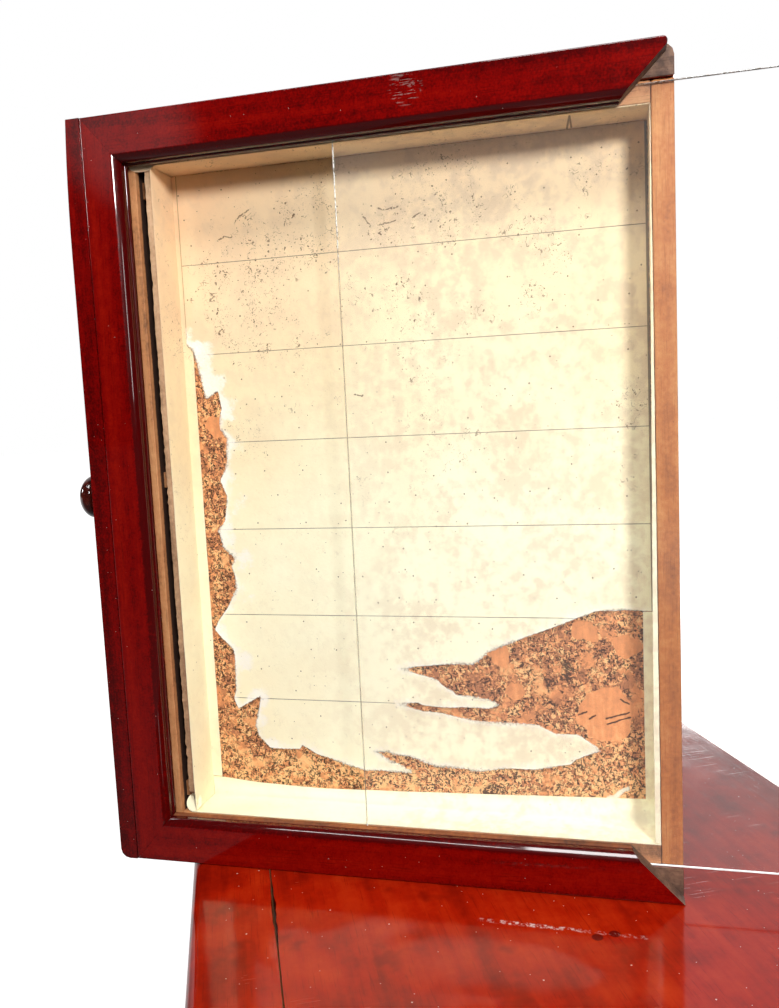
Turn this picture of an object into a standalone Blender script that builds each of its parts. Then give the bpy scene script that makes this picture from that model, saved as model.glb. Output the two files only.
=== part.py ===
"""Collector's chest of shallow glazed drawers, with one drawer taken out and stood on its side on the top.

Metres, +Z up. The chest stands on z = 0, centred on x and y, and its drawers open towards -y.
Each drawer is built in its own frame: x across, y from its front to its back, z up from its underside.
"""
from math import cos, pi, radians, sin

import bmesh
import bpy
from mathutils import Matrix, Vector

# Clearances
FIT = 0.0003            # between two pieces that touch
DRAWER_PLAY = 0.0015    # beside and above a drawer in its slot
PANE_PLAY = 0.0018      # of a pane between the two groove walls
DRAWER_BACK_GAP = 0.004

# Drawer box
DRAWER_WIDTH = 0.4645
DRAWER_DEPTH = 0.3513
DRAWER_HEIGHT = 0.052
FRONT_THICKNESS = 0.0115
SIDE_THICKNESS = 0.0165
BACK_THICKNESS = 0.0118
BOTTOM_THICKNESS = 0.006
LEDGE_WIDTH = 0.0111
FRONT_LEDGE_DEPTH = 0.0275
CELL_WIDTH = 0.0052
PARTITION_THICKNESS = 0.0042
PARTITION_DROP = 0.001
CORNER_ROUND = 0.006

# Moulded rails, mitred round the glass
RAIL_WIDTH = 0.0288
FRONT_RAIL_WIDTH = 0.0245
RAIL_THICKNESS = 0.010
RAIL_CHAMFER = 0.0042
CHAMFER_BULGE = radians(12)
QUIRK_STEP = 0.0012
QUIRK_HEIGHT = 0.0025
CHAMFER_STEPS = 3

# Glass pane in its groove
GROOVE_HEIGHT = 0.0026
PANE_THICKNESS = 0.002
PANE_FRONT = 0.0248
PANE_BACK_INSET = 0.0035
PANE_PULL = 0.1402

# Cork floor and paper lining
CORK_THICKNESS = 0.0055
PAPER_THICKNESS = 0.0005
FRONT_FLAP = 0.0070
RIGHT_FLAP = 0.0127
BACK_FLAP = 0.0066
TONGUE = 0.0038

# Spacer blocks in the camphor cell
BLOCK_LENGTH = 0.010
BLOCK_HEIGHT = 0.026
BLOCK_END_INSET = 0.012
BLOCK_MIDDLE = -0.013

# Turned knob
KNOB_RADIUS = 0.0140
KNOB_LENGTH = 0.0218
KNOB_ACROSS = -0.003
KNOB_FOOT_RADIUS = 0.0075
KNOB_FOOT = 0.002
KNOB_NECK_RADIUS = 0.0055
KNOB_NECK_AT = 0.0055
KNOB_BULB_START = radians(-50)
SPIGOT_RADIUS = 0.005
SPIGOT_LENGTH = 0.009
KNOB_SIDES = 20
BULB_STEPS = 7

# Chest
DRAWER_COUNT = 5
PANEL_THICKNESS = 0.018
BACK_PANEL_THICKNESS = 0.008
DIVIDER_THICKNESS = 0.004
DIVIDER_SETBACK = 0.002
BASE_THICKNESS = 0.020
BASE_OVERHANG = 0.014
TOP_THICKNESS = 0.020
TOP_OVERHANG = 0.028
TOP_STRIP_DEPTH = 0.0474
TOP_JOINT = 0.0008
EDGE_ROUND = 0.006
EDGE_STEPS = 3
SHARP_ANGLE = radians(40)

# Where the loose drawer stands: its lower front corner and its turn about z
STAND_X = 0.01455
STAND_OVERHANG = 0.04645
STAND_TURN = radians(24.4)

# The torn edge of the floor paper, from the front flap and from the right flap, on a sheet of this size
TORN_SHEET = (281, 394)
TORN_EDGE = [
    (275, 117), (264, 118), (248, 117), (238, 113), (224, 107), (203, 99), (191, 94), (182, 90), (176, 83),
    (161, 81), (131, 78), (140, 74), (151, 70), (161, 62), (181, 60), (189, 57), (181, 54), (150, 53),
    (129, 55), (139, 52), (155, 48), (173, 45), (190, 45), (212, 45), (222, 40), (236, 40), (249, 31),
    (234, 24), (231, 21), (211, 17), (189, 16), (175, 14), (159, 15), (138, 17), (112, 22), (130, 10),
    (116, 11), (103, 9), (92, 12), (69, 19), (58, 25), (57, 22), (36, 22), (28, 30), (27, 38), (32, 58),
    (15, 48), (12, 55), (14, 61), (15, 81), (14, 89), (8, 95), (2, 102), (5, 108), (12, 117), (20, 130),
    (17, 144), (20, 150), (12, 157), (10, 168), (14, 174), (17, 190), (13, 201), (18, 210), (20, 228),
    (15, 235), (17, 248), (15, 259), (7, 254), (3, 275), (0.5, 286),
]

# Finishes: colour, roughness, metallic
POLISHED_WOOD = ((0.170, 0.006, 0.004, 1.0), 0.18, 0.0)
CHEST_TOP_WOOD = ((0.330, 0.026, 0.008, 1.0), 0.16, 0.0)
KNOB_WOOD = ((0.030, 0.006, 0.004, 1.0), 0.20, 0.0)
BARE_WOOD = ((0.420, 0.200, 0.085, 1.0), 0.62, 0.0)
CORK = ((0.520, 0.270, 0.130, 1.0), 0.85, 0.0)
PAPER = ((0.860, 0.780, 0.590, 1.0), 0.80, 0.0)
GLASS = ((0.930, 0.960, 0.950, 0.25), 0.04, 0.0)

# Levels in a drawer
RAIL_UNDER = DRAWER_HEIGHT - RAIL_THICKNESS
LEDGE_TOP = RAIL_UNDER - GROOVE_HEIGHT
CORK_UNDER = BOTTOM_THICKNESS + FIT
CORK_TOP = CORK_UNDER + CORK_THICKNESS
PAPER_UNDER = CORK_TOP + FIT
FLOOR = PAPER_UNDER + PAPER_THICKNESS

# Faces across a drawer, from its middle
HALF_WIDTH = DRAWER_WIDTH / 2
SIDE_FACE = HALF_WIDTH - SIDE_THICKNESS
BOARD_END = SIDE_FACE - FIT
LEDGE_FACE = BOARD_END - LEDGE_WIDTH
WALL_FACE = LEDGE_FACE - FIT - PAPER_THICKNESS
INSIDE = WALL_FACE - FIT

# Faces along a drawer, from its front
FRONT_INNER = FRONT_THICKNESS + FIT
CELL_FRONT = FRONT_INNER + FRONT_LEDGE_DEPTH
PARTITION_FRONT = CELL_FRONT + CELL_WIDTH
PARTITION_BACK = PARTITION_FRONT + PARTITION_THICKNESS
FRONT_WALL_FACE = PARTITION_BACK + FIT + PAPER_THICKNESS
BACK_FRONT = DRAWER_DEPTH - BACK_THICKNESS
BACK_WALL_FACE = BACK_FRONT - FIT - PAPER_THICKNESS

# Where the floor paper meets the front flap, the right flap and the back
SHEET_FRONT = FRONT_WALL_FACE + FRONT_FLAP
SHEET_RIGHT = WALL_FACE - RIGHT_FLAP
SHEET_BACK = BACK_WALL_FACE - FIT

# Levels and faces of the chest
SLOT_HEIGHT = DRAWER_HEIGHT + DRAWER_PLAY
CARCASS_TOP = BASE_THICKNESS + DRAWER_COUNT * SLOT_HEIGHT + (DRAWER_COUNT - 1) * DIVIDER_THICKNESS
CHEST_TOP = CARCASS_TOP + TOP_THICKNESS
CARCASS_DEPTH = DRAWER_DEPTH + DRAWER_BACK_GAP + BACK_PANEL_THICKNESS
CARCASS_FRONT = -CARCASS_DEPTH / 2
CARCASS_BACK = CARCASS_DEPTH / 2
PANEL_FACE = HALF_WIDTH + DRAWER_PLAY
PANEL_OUTSIDE = PANEL_FACE + PANEL_THICKNESS
TOP_FRONT = CARCASS_FRONT - TOP_OVERHANG


def box(low, high):
    """A rectangular solid between two corners."""
    low, high = Vector(low), Vector(high)
    bm = bmesh.new()
    bmesh.ops.create_cube(bm, size=1.0)
    bmesh.ops.scale(bm, vec=high - low, verts=bm.verts)
    bmesh.ops.translate(bm, vec=(low + high) / 2, verts=bm.verts)
    return bm


def round_edges(bm, picked, radius):
    """Rounds the edges whose two ends satisfy a test."""
    edges = [edge for edge in bm.edges if picked(edge.verts[0].co, edge.verts[1].co)]
    bmesh.ops.bevel(bm, geom=edges, offset=radius, segments=EDGE_STEPS, profile=0.5, affect="EDGES",
                    material=-1)
    return bm


def make_material(name, finish):
    """A plain Principled material of one finish."""
    colour, roughness, metallic = finish
    material = bpy.data.materials.new(name)
    material.use_nodes = True
    shader = material.node_tree.nodes["Principled BSDF"]
    shader.inputs["Base Color"].default_value = colour
    shader.inputs["Alpha"].default_value = colour[3]
    shader.inputs["Roughness"].default_value = roughness
    shader.inputs["Metallic"].default_value = metallic
    return material


def make_carrier(name, location, turn=(0.0, 0.0, 0.0), parent=None):
    """An empty that carries the pieces of one body."""
    carrier = bpy.data.objects.new(name, None)
    carrier.location = location
    carrier.rotation_euler = turn
    carrier.parent = parent
    bpy.context.collection.objects.link(carrier)
    return carrier


def make_piece(name, solid, finish, carrier=None):
    """One named object from a closed solid."""
    bmesh.ops.recalc_face_normals(solid, faces=solid.faces)
    mesh = bpy.data.meshes.new(name)
    solid.to_mesh(mesh)
    solid.free()
    mesh.materials.append(make_material(name, finish))
    piece = bpy.data.objects.new(name, mesh)
    piece.parent = carrier
    bpy.context.collection.objects.link(piece)
    return piece


def combine(piece, solid, operation, finish):
    """Cuts a solid out of a piece, or joins it on."""
    tool = make_piece(piece.name + "_tool", solid, finish, piece.parent)
    tool.hide_render = True
    tool.display_type = "WIRE"
    step = piece.modifiers.new(operation.lower(), "BOOLEAN")
    step.operation = operation
    step.solver = "EXACT"
    step.object = tool


def front_board():
    """The drawer front, its right end rounded by wear."""

    def right_end(a, b):
        return min(a.x, b.x) > 0 and max(a.y, b.y) < FRONT_THICKNESS / 2

    board = box((-HALF_WIDTH, 0, 0), (HALF_WIDTH, FRONT_THICKNESS, DRAWER_HEIGHT))
    return round_edges(board, right_end, CORNER_ROUND)


def side_board(side):
    """An outer side board, which the rail sits on; side is -1 on the left and 1 on the right."""
    edges = sorted((side * HALF_WIDTH, side * SIDE_FACE))
    return box((edges[0], FRONT_INNER, 0), (edges[1], DRAWER_DEPTH, RAIL_UNDER - FIT))


def worn_left_board():
    """The left side board, its outer back corner rounded by wear."""

    def back_corner(a, b):
        return max(a.x, b.x) < -(HALF_WIDTH + SIDE_FACE) / 2 and min(a.y, b.y) > DRAWER_DEPTH / 2

    return round_edges(side_board(-1), back_corner, CORNER_ROUND)


def side_ledge(side):
    """The strip inside a side board that the pane slides on."""
    edges = sorted((side * BOARD_END, side * LEDGE_FACE))
    return box((edges[0], CELL_FRONT + FIT, CORK_UNDER), (edges[1], BACK_FRONT - FIT, LEDGE_TOP))


def front_ledge():
    """The strip behind the drawer front, before the camphor cell."""
    return box((-BOARD_END, FRONT_INNER, 0), (BOARD_END, CELL_FRONT, LEDGE_TOP))


def back_board():
    """The back board, low enough for the pane to slide over it."""
    return box((-BOARD_END, BACK_FRONT, 0), (BOARD_END, DRAWER_DEPTH, LEDGE_TOP))


def bottom_board():
    """The thin bottom between the ledge, the sides and the back."""
    return box((-BOARD_END, CELL_FRONT + FIT, 0), (BOARD_END, BACK_FRONT - FIT, BOTTOM_THICKNESS))


def cell_partition():
    """The thin board between the camphor cell and the specimens."""
    return box((-INSIDE, PARTITION_FRONT, CORK_UNDER), (INSIDE, PARTITION_BACK, LEDGE_TOP - PARTITION_DROP))


def cell_block(middle):
    """A small block that spaces the partition from the front ledge."""
    reach = BLOCK_LENGTH / 2
    return box((middle - reach, CELL_FRONT + FIT, CORK_UNDER),
               (middle + reach, PARTITION_FRONT - FIT, CORK_UNDER + BLOCK_HEIGHT))


def cork_sheet():
    """The pinning cork on the bottom board."""
    edge = LEDGE_FACE - FIT
    return box((-edge, PARTITION_BACK + FIT, CORK_UNDER), (edge, BACK_FRONT - FIT, CORK_TOP))


def side_paper(side):
    """Paper on a side wall; it runs past the partition as a tongue."""
    edges = sorted((side * WALL_FACE, side * (WALL_FACE + PAPER_THICKNESS)))
    return box((edges[0], PARTITION_FRONT - TONGUE, PAPER_UNDER), (edges[1], BACK_FRONT - FIT, LEDGE_TOP))


def front_paper():
    """Paper on the back of the partition."""
    return box((-INSIDE, PARTITION_BACK + FIT, PAPER_UNDER), (INSIDE, FRONT_WALL_FACE, LEDGE_TOP))


def back_paper():
    """Paper on the inside of the back board."""
    return box((-INSIDE, BACK_WALL_FACE, PAPER_UNDER), (INSIDE, BACK_FRONT - FIT, LEDGE_TOP))


def front_flap():
    """The margin of the front paper, turned in over the cork."""
    return box((-INSIDE, FRONT_WALL_FACE - PAPER_THICKNESS / 2, PAPER_UNDER),
               (SHEET_RIGHT - FIT, SHEET_FRONT - FIT, FLOOR))


def right_flap():
    """The margin of the right paper, turned in over the cork."""
    return box((SHEET_RIGHT, FRONT_WALL_FACE + FIT, PAPER_UNDER),
               (WALL_FACE + PAPER_THICKNESS / 2, SHEET_BACK, FLOOR))


def back_flap():
    """The margin of the back paper, turned in over the cork where the floor paper is torn away."""
    torn_back = SHEET_RIGHT - TORN_EDGE[0][1] / TORN_SHEET[1] * (SHEET_RIGHT + INSIDE)
    return box((torn_back + FIT, BACK_WALL_FACE - BACK_FLAP, PAPER_UNDER),
               (SHEET_RIGHT - FIT, BACK_WALL_FACE + PAPER_THICKNESS / 2, FLOOR))


def floor_paper():
    """The ruled floor paper, torn away along its right edge and round its front right corner."""
    length = SHEET_BACK - SHEET_FRONT
    width = SHEET_RIGHT + INSIDE
    torn = [(SHEET_RIGHT - across / TORN_SHEET[1] * width, SHEET_FRONT + along / TORN_SHEET[0] * length)
            for along, across in TORN_EDGE]
    outline = [(-INSIDE, SHEET_FRONT), (-INSIDE, SHEET_BACK), (torn[0][0], SHEET_BACK)] + torn
    bm = bmesh.new()
    sheet = bm.faces.new([bm.verts.new((x, y, PAPER_UNDER)) for x, y in outline])
    grown = bmesh.ops.extrude_face_region(bm, geom=[sheet])["geom"]
    lifted = [item for item in grown if isinstance(item, bmesh.types.BMVert)]
    bmesh.ops.translate(bm, vec=(0, 0, PAPER_THICKNESS), verts=lifted)
    return bm


def rail_section(width):
    """Section of a rail from its outer edge: flat, with a bulging chamfer inside over a square quirk."""
    nose = width - QUIRK_STEP
    first = pi / 4 - CHAMFER_BULGE
    turns = [first + 2 * CHAMFER_BULGE * step / CHAMFER_STEPS for step in range(CHAMFER_STEPS + 1)]
    size = RAIL_CHAMFER / (cos(first) - sin(first))
    chamfer = [(nose - size * (cos(first) - cos(turn)), RAIL_THICKNESS - size * (cos(first) - sin(turn)))
               for turn in turns]
    return [(0, 0), (width, 0), (width, QUIRK_HEIGHT), (nose, QUIRK_HEIGHT)] + chamfer + [(0, RAIL_THICKNESS)]


def rail(width, length, runs):
    """A moulded rail along x with its outer edge on y = 0, mitred at its two ends by the given runs."""
    bm = bmesh.new()
    end = bm.faces.new([bm.verts.new((-length / 2, y, z)) for y, z in rail_section(width)])
    grown = bmesh.ops.extrude_face_region(bm, geom=[end])["geom"]
    moved = [item for item in grown if isinstance(item, bmesh.types.BMVert)]
    bmesh.ops.translate(bm, vec=(length, 0, 0), verts=moved)
    for direction, run in zip((-1, 1), runs):
        outward = Vector((direction * width, run, 0)).normalized()
        corner = Vector((direction * length / 2, 0, 0)) - outward * FIT / 2
        everything = bm.verts[:] + bm.edges[:] + bm.faces[:]
        bmesh.ops.bisect_plane(bm, geom=everything, plane_co=corner, plane_no=outward, clear_outer=True)
        bmesh.ops.holes_fill(bm, edges=[edge for edge in bm.edges if edge.is_boundary])
    return bm


def placed(bm, quarter_turns, location):
    """Turns a solid about z by quarter turns and moves it to its place."""
    place = Matrix.Translation(location) @ Matrix.Rotation(quarter_turns * pi / 2, 4, "Z")
    bmesh.ops.transform(bm, matrix=place, verts=bm.verts)
    return bm


def front_rail():
    """The rail behind the top of the drawer front."""
    length = rail(FRONT_RAIL_WIDTH, DRAWER_WIDTH, (RAIL_WIDTH, RAIL_WIDTH))
    return placed(length, 0, (0, FRONT_INNER, RAIL_UNDER))


def side_rail(side):
    """A rail on top of a side board, mitred to the front rail and open at the back."""
    runs = (FRONT_RAIL_WIDTH, RAIL_WIDTH) if side > 0 else (RAIL_WIDTH, FRONT_RAIL_WIDTH)
    middle = (FRONT_INNER + DRAWER_DEPTH) / 2
    length = rail(RAIL_WIDTH, DRAWER_DEPTH - FRONT_INNER, runs)
    return placed(length, side, (side * HALF_WIDTH, middle, RAIL_UNDER))


def back_rail():
    """The rail that is fixed on the back end of the pane and slides out with it."""
    length = rail(RAIL_WIDTH, DRAWER_WIDTH, (RAIL_WIDTH, RAIL_WIDTH))
    return placed(length, 2, (0, DRAWER_DEPTH, RAIL_UNDER))


def rail_frame():
    """The four rails of a closed drawer, glued at their mitres into one frame."""
    bm = bmesh.new()
    side_points = rail_section(RAIL_WIDTH)
    front_points = rail_section(FRONT_RAIL_WIDTH)
    loops = []
    for side, at_front in ((-1, True), (1, True), (1, False), (-1, False)):
        end_points = front_points if at_front else side_points
        loop = []
        for (across, height), (along, _) in zip(side_points, end_points):
            y = FRONT_INNER + along if at_front else DRAWER_DEPTH - along
            loop.append(bm.verts.new((side * (HALF_WIDTH - across), y, RAIL_UNDER + height)))
        loops.append(loop)
    for first, second in zip(loops, loops[1:] + loops[:1]):
        for here in range(len(first)):
            after = (here + 1) % len(first)
            bm.faces.new((first[here], first[after], second[after], second[here]))
    return bm


def pane(right_edge):
    """The glass, with its right edge at the given x."""
    left_edge = right_edge - (2 * BOARD_END - PANE_PLAY)
    back_edge = DRAWER_DEPTH - PANE_BACK_INSET
    under = LEDGE_TOP + FIT
    return box((left_edge, PANE_FRONT, under), (right_edge, back_edge, under + PANE_THICKNESS))


def knob():
    """The turned knob with the spigot that is glued into the drawer front."""
    bulb_middle = (KNOB_NECK_AT + KNOB_LENGTH) / 2
    bulb_half = KNOB_LENGTH - bulb_middle
    sweep = pi / 2 - KNOB_BULB_START
    angles = [KNOB_BULB_START + sweep * step / BULB_STEPS for step in range(BULB_STEPS)]
    bulb = [(KNOB_RADIUS * cos(angle), bulb_middle + bulb_half * sin(angle)) for angle in angles]
    spigot = [(0, -SPIGOT_LENGTH), (SPIGOT_RADIUS, -SPIGOT_LENGTH), (SPIGOT_RADIUS, FIT)]
    foot = [(KNOB_FOOT_RADIUS, FIT), (KNOB_FOOT_RADIUS, KNOB_FOOT), (KNOB_NECK_RADIUS, KNOB_NECK_AT)]
    profile = spigot + foot + bulb + [(0, KNOB_LENGTH)]
    bm = bmesh.new()
    points = [bm.verts.new((0, -out, radius)) for radius, out in profile]
    for first, second in zip(points, points[1:]):
        bm.edges.new((first, second))
    bmesh.ops.spin(bm, geom=bm.verts[:] + bm.edges[:], cent=(0, 0, 0), axis=(0, 1, 0), angle=2 * pi,
                   steps=KNOB_SIDES, use_merge=True)
    bmesh.ops.remove_doubles(bm, verts=bm.verts, dist=FIT / 10)
    bmesh.ops.translate(bm, vec=(KNOB_ACROSS, 0, DRAWER_HEIGHT / 2), verts=bm.verts)
    return bm


def bored_front(name, carrier):
    """The drawer front with the hole for the knob's spigot bored through it."""
    board = make_piece(name, front_board(), POLISHED_WOOD, carrier)
    drill = bmesh.new()
    radius = SPIGOT_RADIUS + FIT
    bmesh.ops.create_cone(drill, cap_ends=True, segments=KNOB_SIDES, radius1=radius, radius2=radius,
                          depth=4 * FRONT_THICKNESS, matrix=Matrix.Rotation(pi / 2, 4, "X"))
    bmesh.ops.translate(drill, vec=(KNOB_ACROSS, 0, DRAWER_HEIGHT / 2), verts=drill.verts)
    combine(board, drill, "DIFFERENCE", POLISHED_WOOD)


def drawer_tray(name, carrier):
    """Sides, ledges, back, bottom and partition of a drawer in the chest, glued up as one tray."""
    whole = box((-HALF_WIDTH, FRONT_INNER, 0), (HALF_WIDTH, DRAWER_DEPTH, RAIL_UNDER - FIT))
    tray = make_piece(name, whole, BARE_WOOD, carrier)
    above = DRAWER_HEIGHT
    hollows = [
        ((-SIDE_FACE, FRONT_INNER - DRAWER_DEPTH, LEDGE_TOP), (SIDE_FACE, 2 * DRAWER_DEPTH, above)),
        ((-LEDGE_FACE, CELL_FRONT, BOTTOM_THICKNESS), (LEDGE_FACE, PARTITION_FRONT, above)),
        ((-LEDGE_FACE, PARTITION_BACK, BOTTOM_THICKNESS), (LEDGE_FACE, BACK_FRONT, above)),
    ]
    for low, high in hollows:
        combine(tray, box(low, high), "DIFFERENCE", BARE_WOOD)


def drawer_lining(name, carrier):
    """Cork floor and whole paper lining of a drawer in the chest, as one thin tray."""
    edge = LEDGE_FACE - FIT
    whole = box((-edge, PARTITION_BACK + FIT, CORK_UNDER), (edge, BACK_FRONT - FIT, LEDGE_TOP))
    lining = make_piece(name, whole, PAPER, carrier)
    space = box((-WALL_FACE, FRONT_WALL_FACE, FLOOR), (WALL_FACE, BACK_WALL_FACE, DRAWER_HEIGHT))
    combine(lining, space, "DIFFERENCE", PAPER)


def smooth_round(piece):
    """Smooth shading on a turned piece."""
    piece.data.shade_smooth()
    piece.data.set_sharp_from_angle(angle=SHARP_ANGLE)


def build_closed_drawer(number, floor_level):
    """A drawer in its slot, with its pane pushed home under the four rails."""
    name = "drawer_%d_" % number
    carrier = make_carrier(name + "carrier", (0, CARCASS_FRONT, floor_level + FIT))
    bored_front(name + "front_board", carrier)
    drawer_tray(name + "tray", carrier)
    drawer_lining(name + "lining", carrier)
    make_piece(name + "rails", rail_frame(), POLISHED_WOOD, carrier)
    make_piece(name + "pane", pane(BOARD_END - PANE_PLAY / 2), GLASS, carrier)
    smooth_round(make_piece(name + "knob", knob(), KNOB_WOOD, carrier))


def build_loose_drawer():
    """The drawer that stands on its right side on the chest, with its pane drawn part of the way out."""
    facing = Vector((cos(STAND_TURN), -sin(STAND_TURN), 0))
    lower_corner = Vector((STAND_X, TOP_FRONT - STAND_OVERHANG, CHEST_TOP + FIT))
    place = lower_corner + Vector((0, 0, HALF_WIDTH)) - facing * DRAWER_HEIGHT
    carrier = make_carrier("loose_drawer_carrier", place, (0, pi / 2, -STAND_TURN))
    bored_front("front_board", carrier)
    make_piece("front_rail", front_rail(), POLISHED_WOOD, carrier)
    make_piece("left_rail", side_rail(-1), POLISHED_WOOD, carrier)
    make_piece("right_rail", side_rail(1), POLISHED_WOOD, carrier)
    make_piece("left_side", worn_left_board(), POLISHED_WOOD, carrier)
    make_piece("right_side", side_board(1), POLISHED_WOOD, carrier)
    make_piece("left_ledge", side_ledge(-1), BARE_WOOD, carrier)
    make_piece("right_ledge", side_ledge(1), BARE_WOOD, carrier)
    make_piece("front_ledge", front_ledge(), BARE_WOOD, carrier)
    make_piece("back_board", back_board(), BARE_WOOD, carrier)
    make_piece("bottom_board", bottom_board(), BARE_WOOD, carrier)
    make_piece("cell_partition", cell_partition(), BARE_WOOD, carrier)
    end_block = INSIDE - BLOCK_END_INSET
    for number, middle in enumerate((-end_block, BLOCK_MIDDLE, end_block)):
        make_piece("cell_block_%d" % (number + 1), cell_block(middle), BARE_WOOD, carrier)
    make_piece("cork_sheet", cork_sheet(), CORK, carrier)
    make_piece("left_wall_paper", side_paper(-1), PAPER, carrier)
    combine(make_piece("right_wall_paper", side_paper(1), PAPER, carrier), right_flap(), "UNION", PAPER)
    combine(make_piece("front_wall_paper", front_paper(), PAPER, carrier), front_flap(), "UNION", PAPER)
    combine(make_piece("back_wall_paper", back_paper(), PAPER, carrier), back_flap(), "UNION", PAPER)
    make_piece("floor_paper", floor_paper(), PAPER, carrier)
    smooth_round(make_piece("knob", knob(), KNOB_WOOD, carrier))
    pane_carrier = make_carrier("pane_carrier", (0, PANE_PULL, 0), parent=carrier)
    make_piece("pane", pane(BOARD_END), GLASS, pane_carrier)
    make_piece("pane_rail", back_rail(), POLISHED_WOOD, pane_carrier)


def build_chest():
    """The case: base, two sides, back, dividers and a top of two boards with an open joint."""
    outside = PANEL_OUTSIDE + BASE_OVERHANG

    def base_edge(a, b):
        back = min(a.y, b.y) > 0
        upper = min(a.z, b.z) > BASE_THICKNESS / 2
        corner = a.z != b.z and max(a.y, b.y) < 0
        return not back and (upper or corner)

    base = box((-outside, CARCASS_FRONT - BASE_OVERHANG, 0), (outside, CARCASS_BACK, BASE_THICKNESS))
    make_piece("base_board", round_edges(base, base_edge, EDGE_ROUND), POLISHED_WOOD)
    for side, name in ((-1, "left_panel"), (1, "right_panel")):
        edges = sorted((side * PANEL_FACE, side * PANEL_OUTSIDE))
        panel = box((edges[0], CARCASS_FRONT, BASE_THICKNESS + FIT),
                    (edges[1], CARCASS_BACK, CARCASS_TOP - FIT))
        make_piece(name, panel, POLISHED_WOOD)
    reach = PANEL_FACE - FIT
    panel = box((-reach, CARCASS_BACK - BACK_PANEL_THICKNESS, BASE_THICKNESS + FIT),
                (reach, CARCASS_BACK, CARCASS_TOP - FIT))
    make_piece("back_panel", panel, BARE_WOOD)
    for slot in range(1, DRAWER_COUNT):
        under = BASE_THICKNESS + slot * SLOT_HEIGHT + (slot - 1) * DIVIDER_THICKNESS
        divider = box((-reach, CARCASS_FRONT + DIVIDER_SETBACK, under),
                      (reach, CARCASS_BACK - BACK_PANEL_THICKNESS - FIT, under + DIVIDER_THICKNESS))
        make_piece("divider_%d" % slot, divider, BARE_WOOD)

    width = PANEL_OUTSIDE + TOP_OVERHANG
    joint = TOP_FRONT + TOP_STRIP_DEPTH
    strip = box((-width, TOP_FRONT, CARCASS_TOP), (width, joint, CHEST_TOP))
    board = box((-width, joint + TOP_JOINT, CARCASS_TOP), (width, -TOP_FRONT, CHEST_TOP))
    joint_middle = joint + TOP_JOINT / 2

    def outer_edge(a, b):
        return max(abs(a.y - joint_middle), abs(b.y - joint_middle)) > TOP_JOINT

    make_piece("top_front_strip", round_edges(strip, outer_edge, EDGE_ROUND), CHEST_TOP_WOOD)
    make_piece("top_board", round_edges(board, outer_edge, EDGE_ROUND), CHEST_TOP_WOOD)


for old in list(bpy.data.objects):
    bpy.data.objects.remove(old)
build_chest()
for drawer in range(DRAWER_COUNT - 1):
    build_closed_drawer(drawer + 1, BASE_THICKNESS + drawer * (SLOT_HEIGHT + DIVIDER_THICKNESS))
build_loose_drawer()
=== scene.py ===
from functools import partialmethod
from math import cos, pi, radians, sin

import bmesh
import bpy
import numpy as np
from mathutils import Euler, Matrix, Vector, noise


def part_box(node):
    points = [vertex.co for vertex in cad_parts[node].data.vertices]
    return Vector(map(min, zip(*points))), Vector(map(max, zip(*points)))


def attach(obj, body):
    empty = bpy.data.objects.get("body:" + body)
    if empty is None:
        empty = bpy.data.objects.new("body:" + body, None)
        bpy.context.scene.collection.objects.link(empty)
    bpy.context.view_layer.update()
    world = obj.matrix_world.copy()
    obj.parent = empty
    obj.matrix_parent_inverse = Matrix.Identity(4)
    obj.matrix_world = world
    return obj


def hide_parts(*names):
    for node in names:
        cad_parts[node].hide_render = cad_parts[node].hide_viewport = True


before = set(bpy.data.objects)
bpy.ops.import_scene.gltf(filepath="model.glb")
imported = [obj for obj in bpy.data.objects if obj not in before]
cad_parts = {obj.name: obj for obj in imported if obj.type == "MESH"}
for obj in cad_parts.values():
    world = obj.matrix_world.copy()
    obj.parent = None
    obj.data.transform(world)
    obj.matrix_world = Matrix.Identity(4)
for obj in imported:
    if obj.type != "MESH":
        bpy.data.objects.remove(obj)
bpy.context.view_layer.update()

# The studio: a white room with a soft lamp, a skylight, a tube and three windows, and a camera at the
# photographer's place. The far half of the room is bright and the near half dim, which the polish mirrors.
PICTURE = (779, 1008)
FOCAL_PIXELS = 880
EYE = Vector((0.5887, -0.1716, 0.60635))
RIGHTWARDS = Vector((0.18367, 0.98189, -0.04643))
UPWARDS = Vector((-0.09539, 0.06482, 0.99333))
FORWARDS = Vector((-0.97835, 0.17801, -0.10556))
LIGHTS = [  # name, place lit, direction to the light, distance, size, watts
    ("lamp", (0.0612, -0.0577, 0.556), (0.887, 0.111, 0.448), 1.257, (0.22, 0.22), 14.7),
    ("skylight", (0.12, 0.01, 0.36), (0.4135, -0.1876, 0.891), 1.5, (0.32, 0.36), 7.5),
    ("tube", (0.095, -0.073, 0.351), (0.31, -0.405, 0.86), 1.55, (0.6, 0.06), 2.2),
    ("side_window", (0.03, -0.22, 0.67), (0.833, 0.553, 0.105), 2.2, (0.1, 0.45), 1.6),
    ("front_window", (0.02, -0.25, 0.75), (-0.163, -0.987, 0.28), 2.0, (0.25, 0.35), 11.0),
    ("back_window", (0.0, 0.05, 0.35), (-0.79, 0.6, 0.13), 2.6, (1.2, 1.0), 26.0),
]
ROOM_LEVELS = (0.01, 0.17)
FRONT_LEVEL = 0.14
DIM_LEVEL = 0.006
FAR_WALL_LEVEL = 1.0
PALE_WALL = Vector((0.566, -0.769, 0.292)).normalized()
PALE_WALL_EDGE = (0.9965, 0.9995)
PALE_WALL_LEVEL = 0.6
FLOOR_SIZE = 40.0
FLOOR_GLOW = 0.8
FLOOR_PALE = (0.6, 0.6, 0.6)
FLOOR_DIM = (0.12, 0.12, 0.12)
FLOOR_ROUGHNESS = 0.9
FLOOR_DROP = 0.0005


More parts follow.
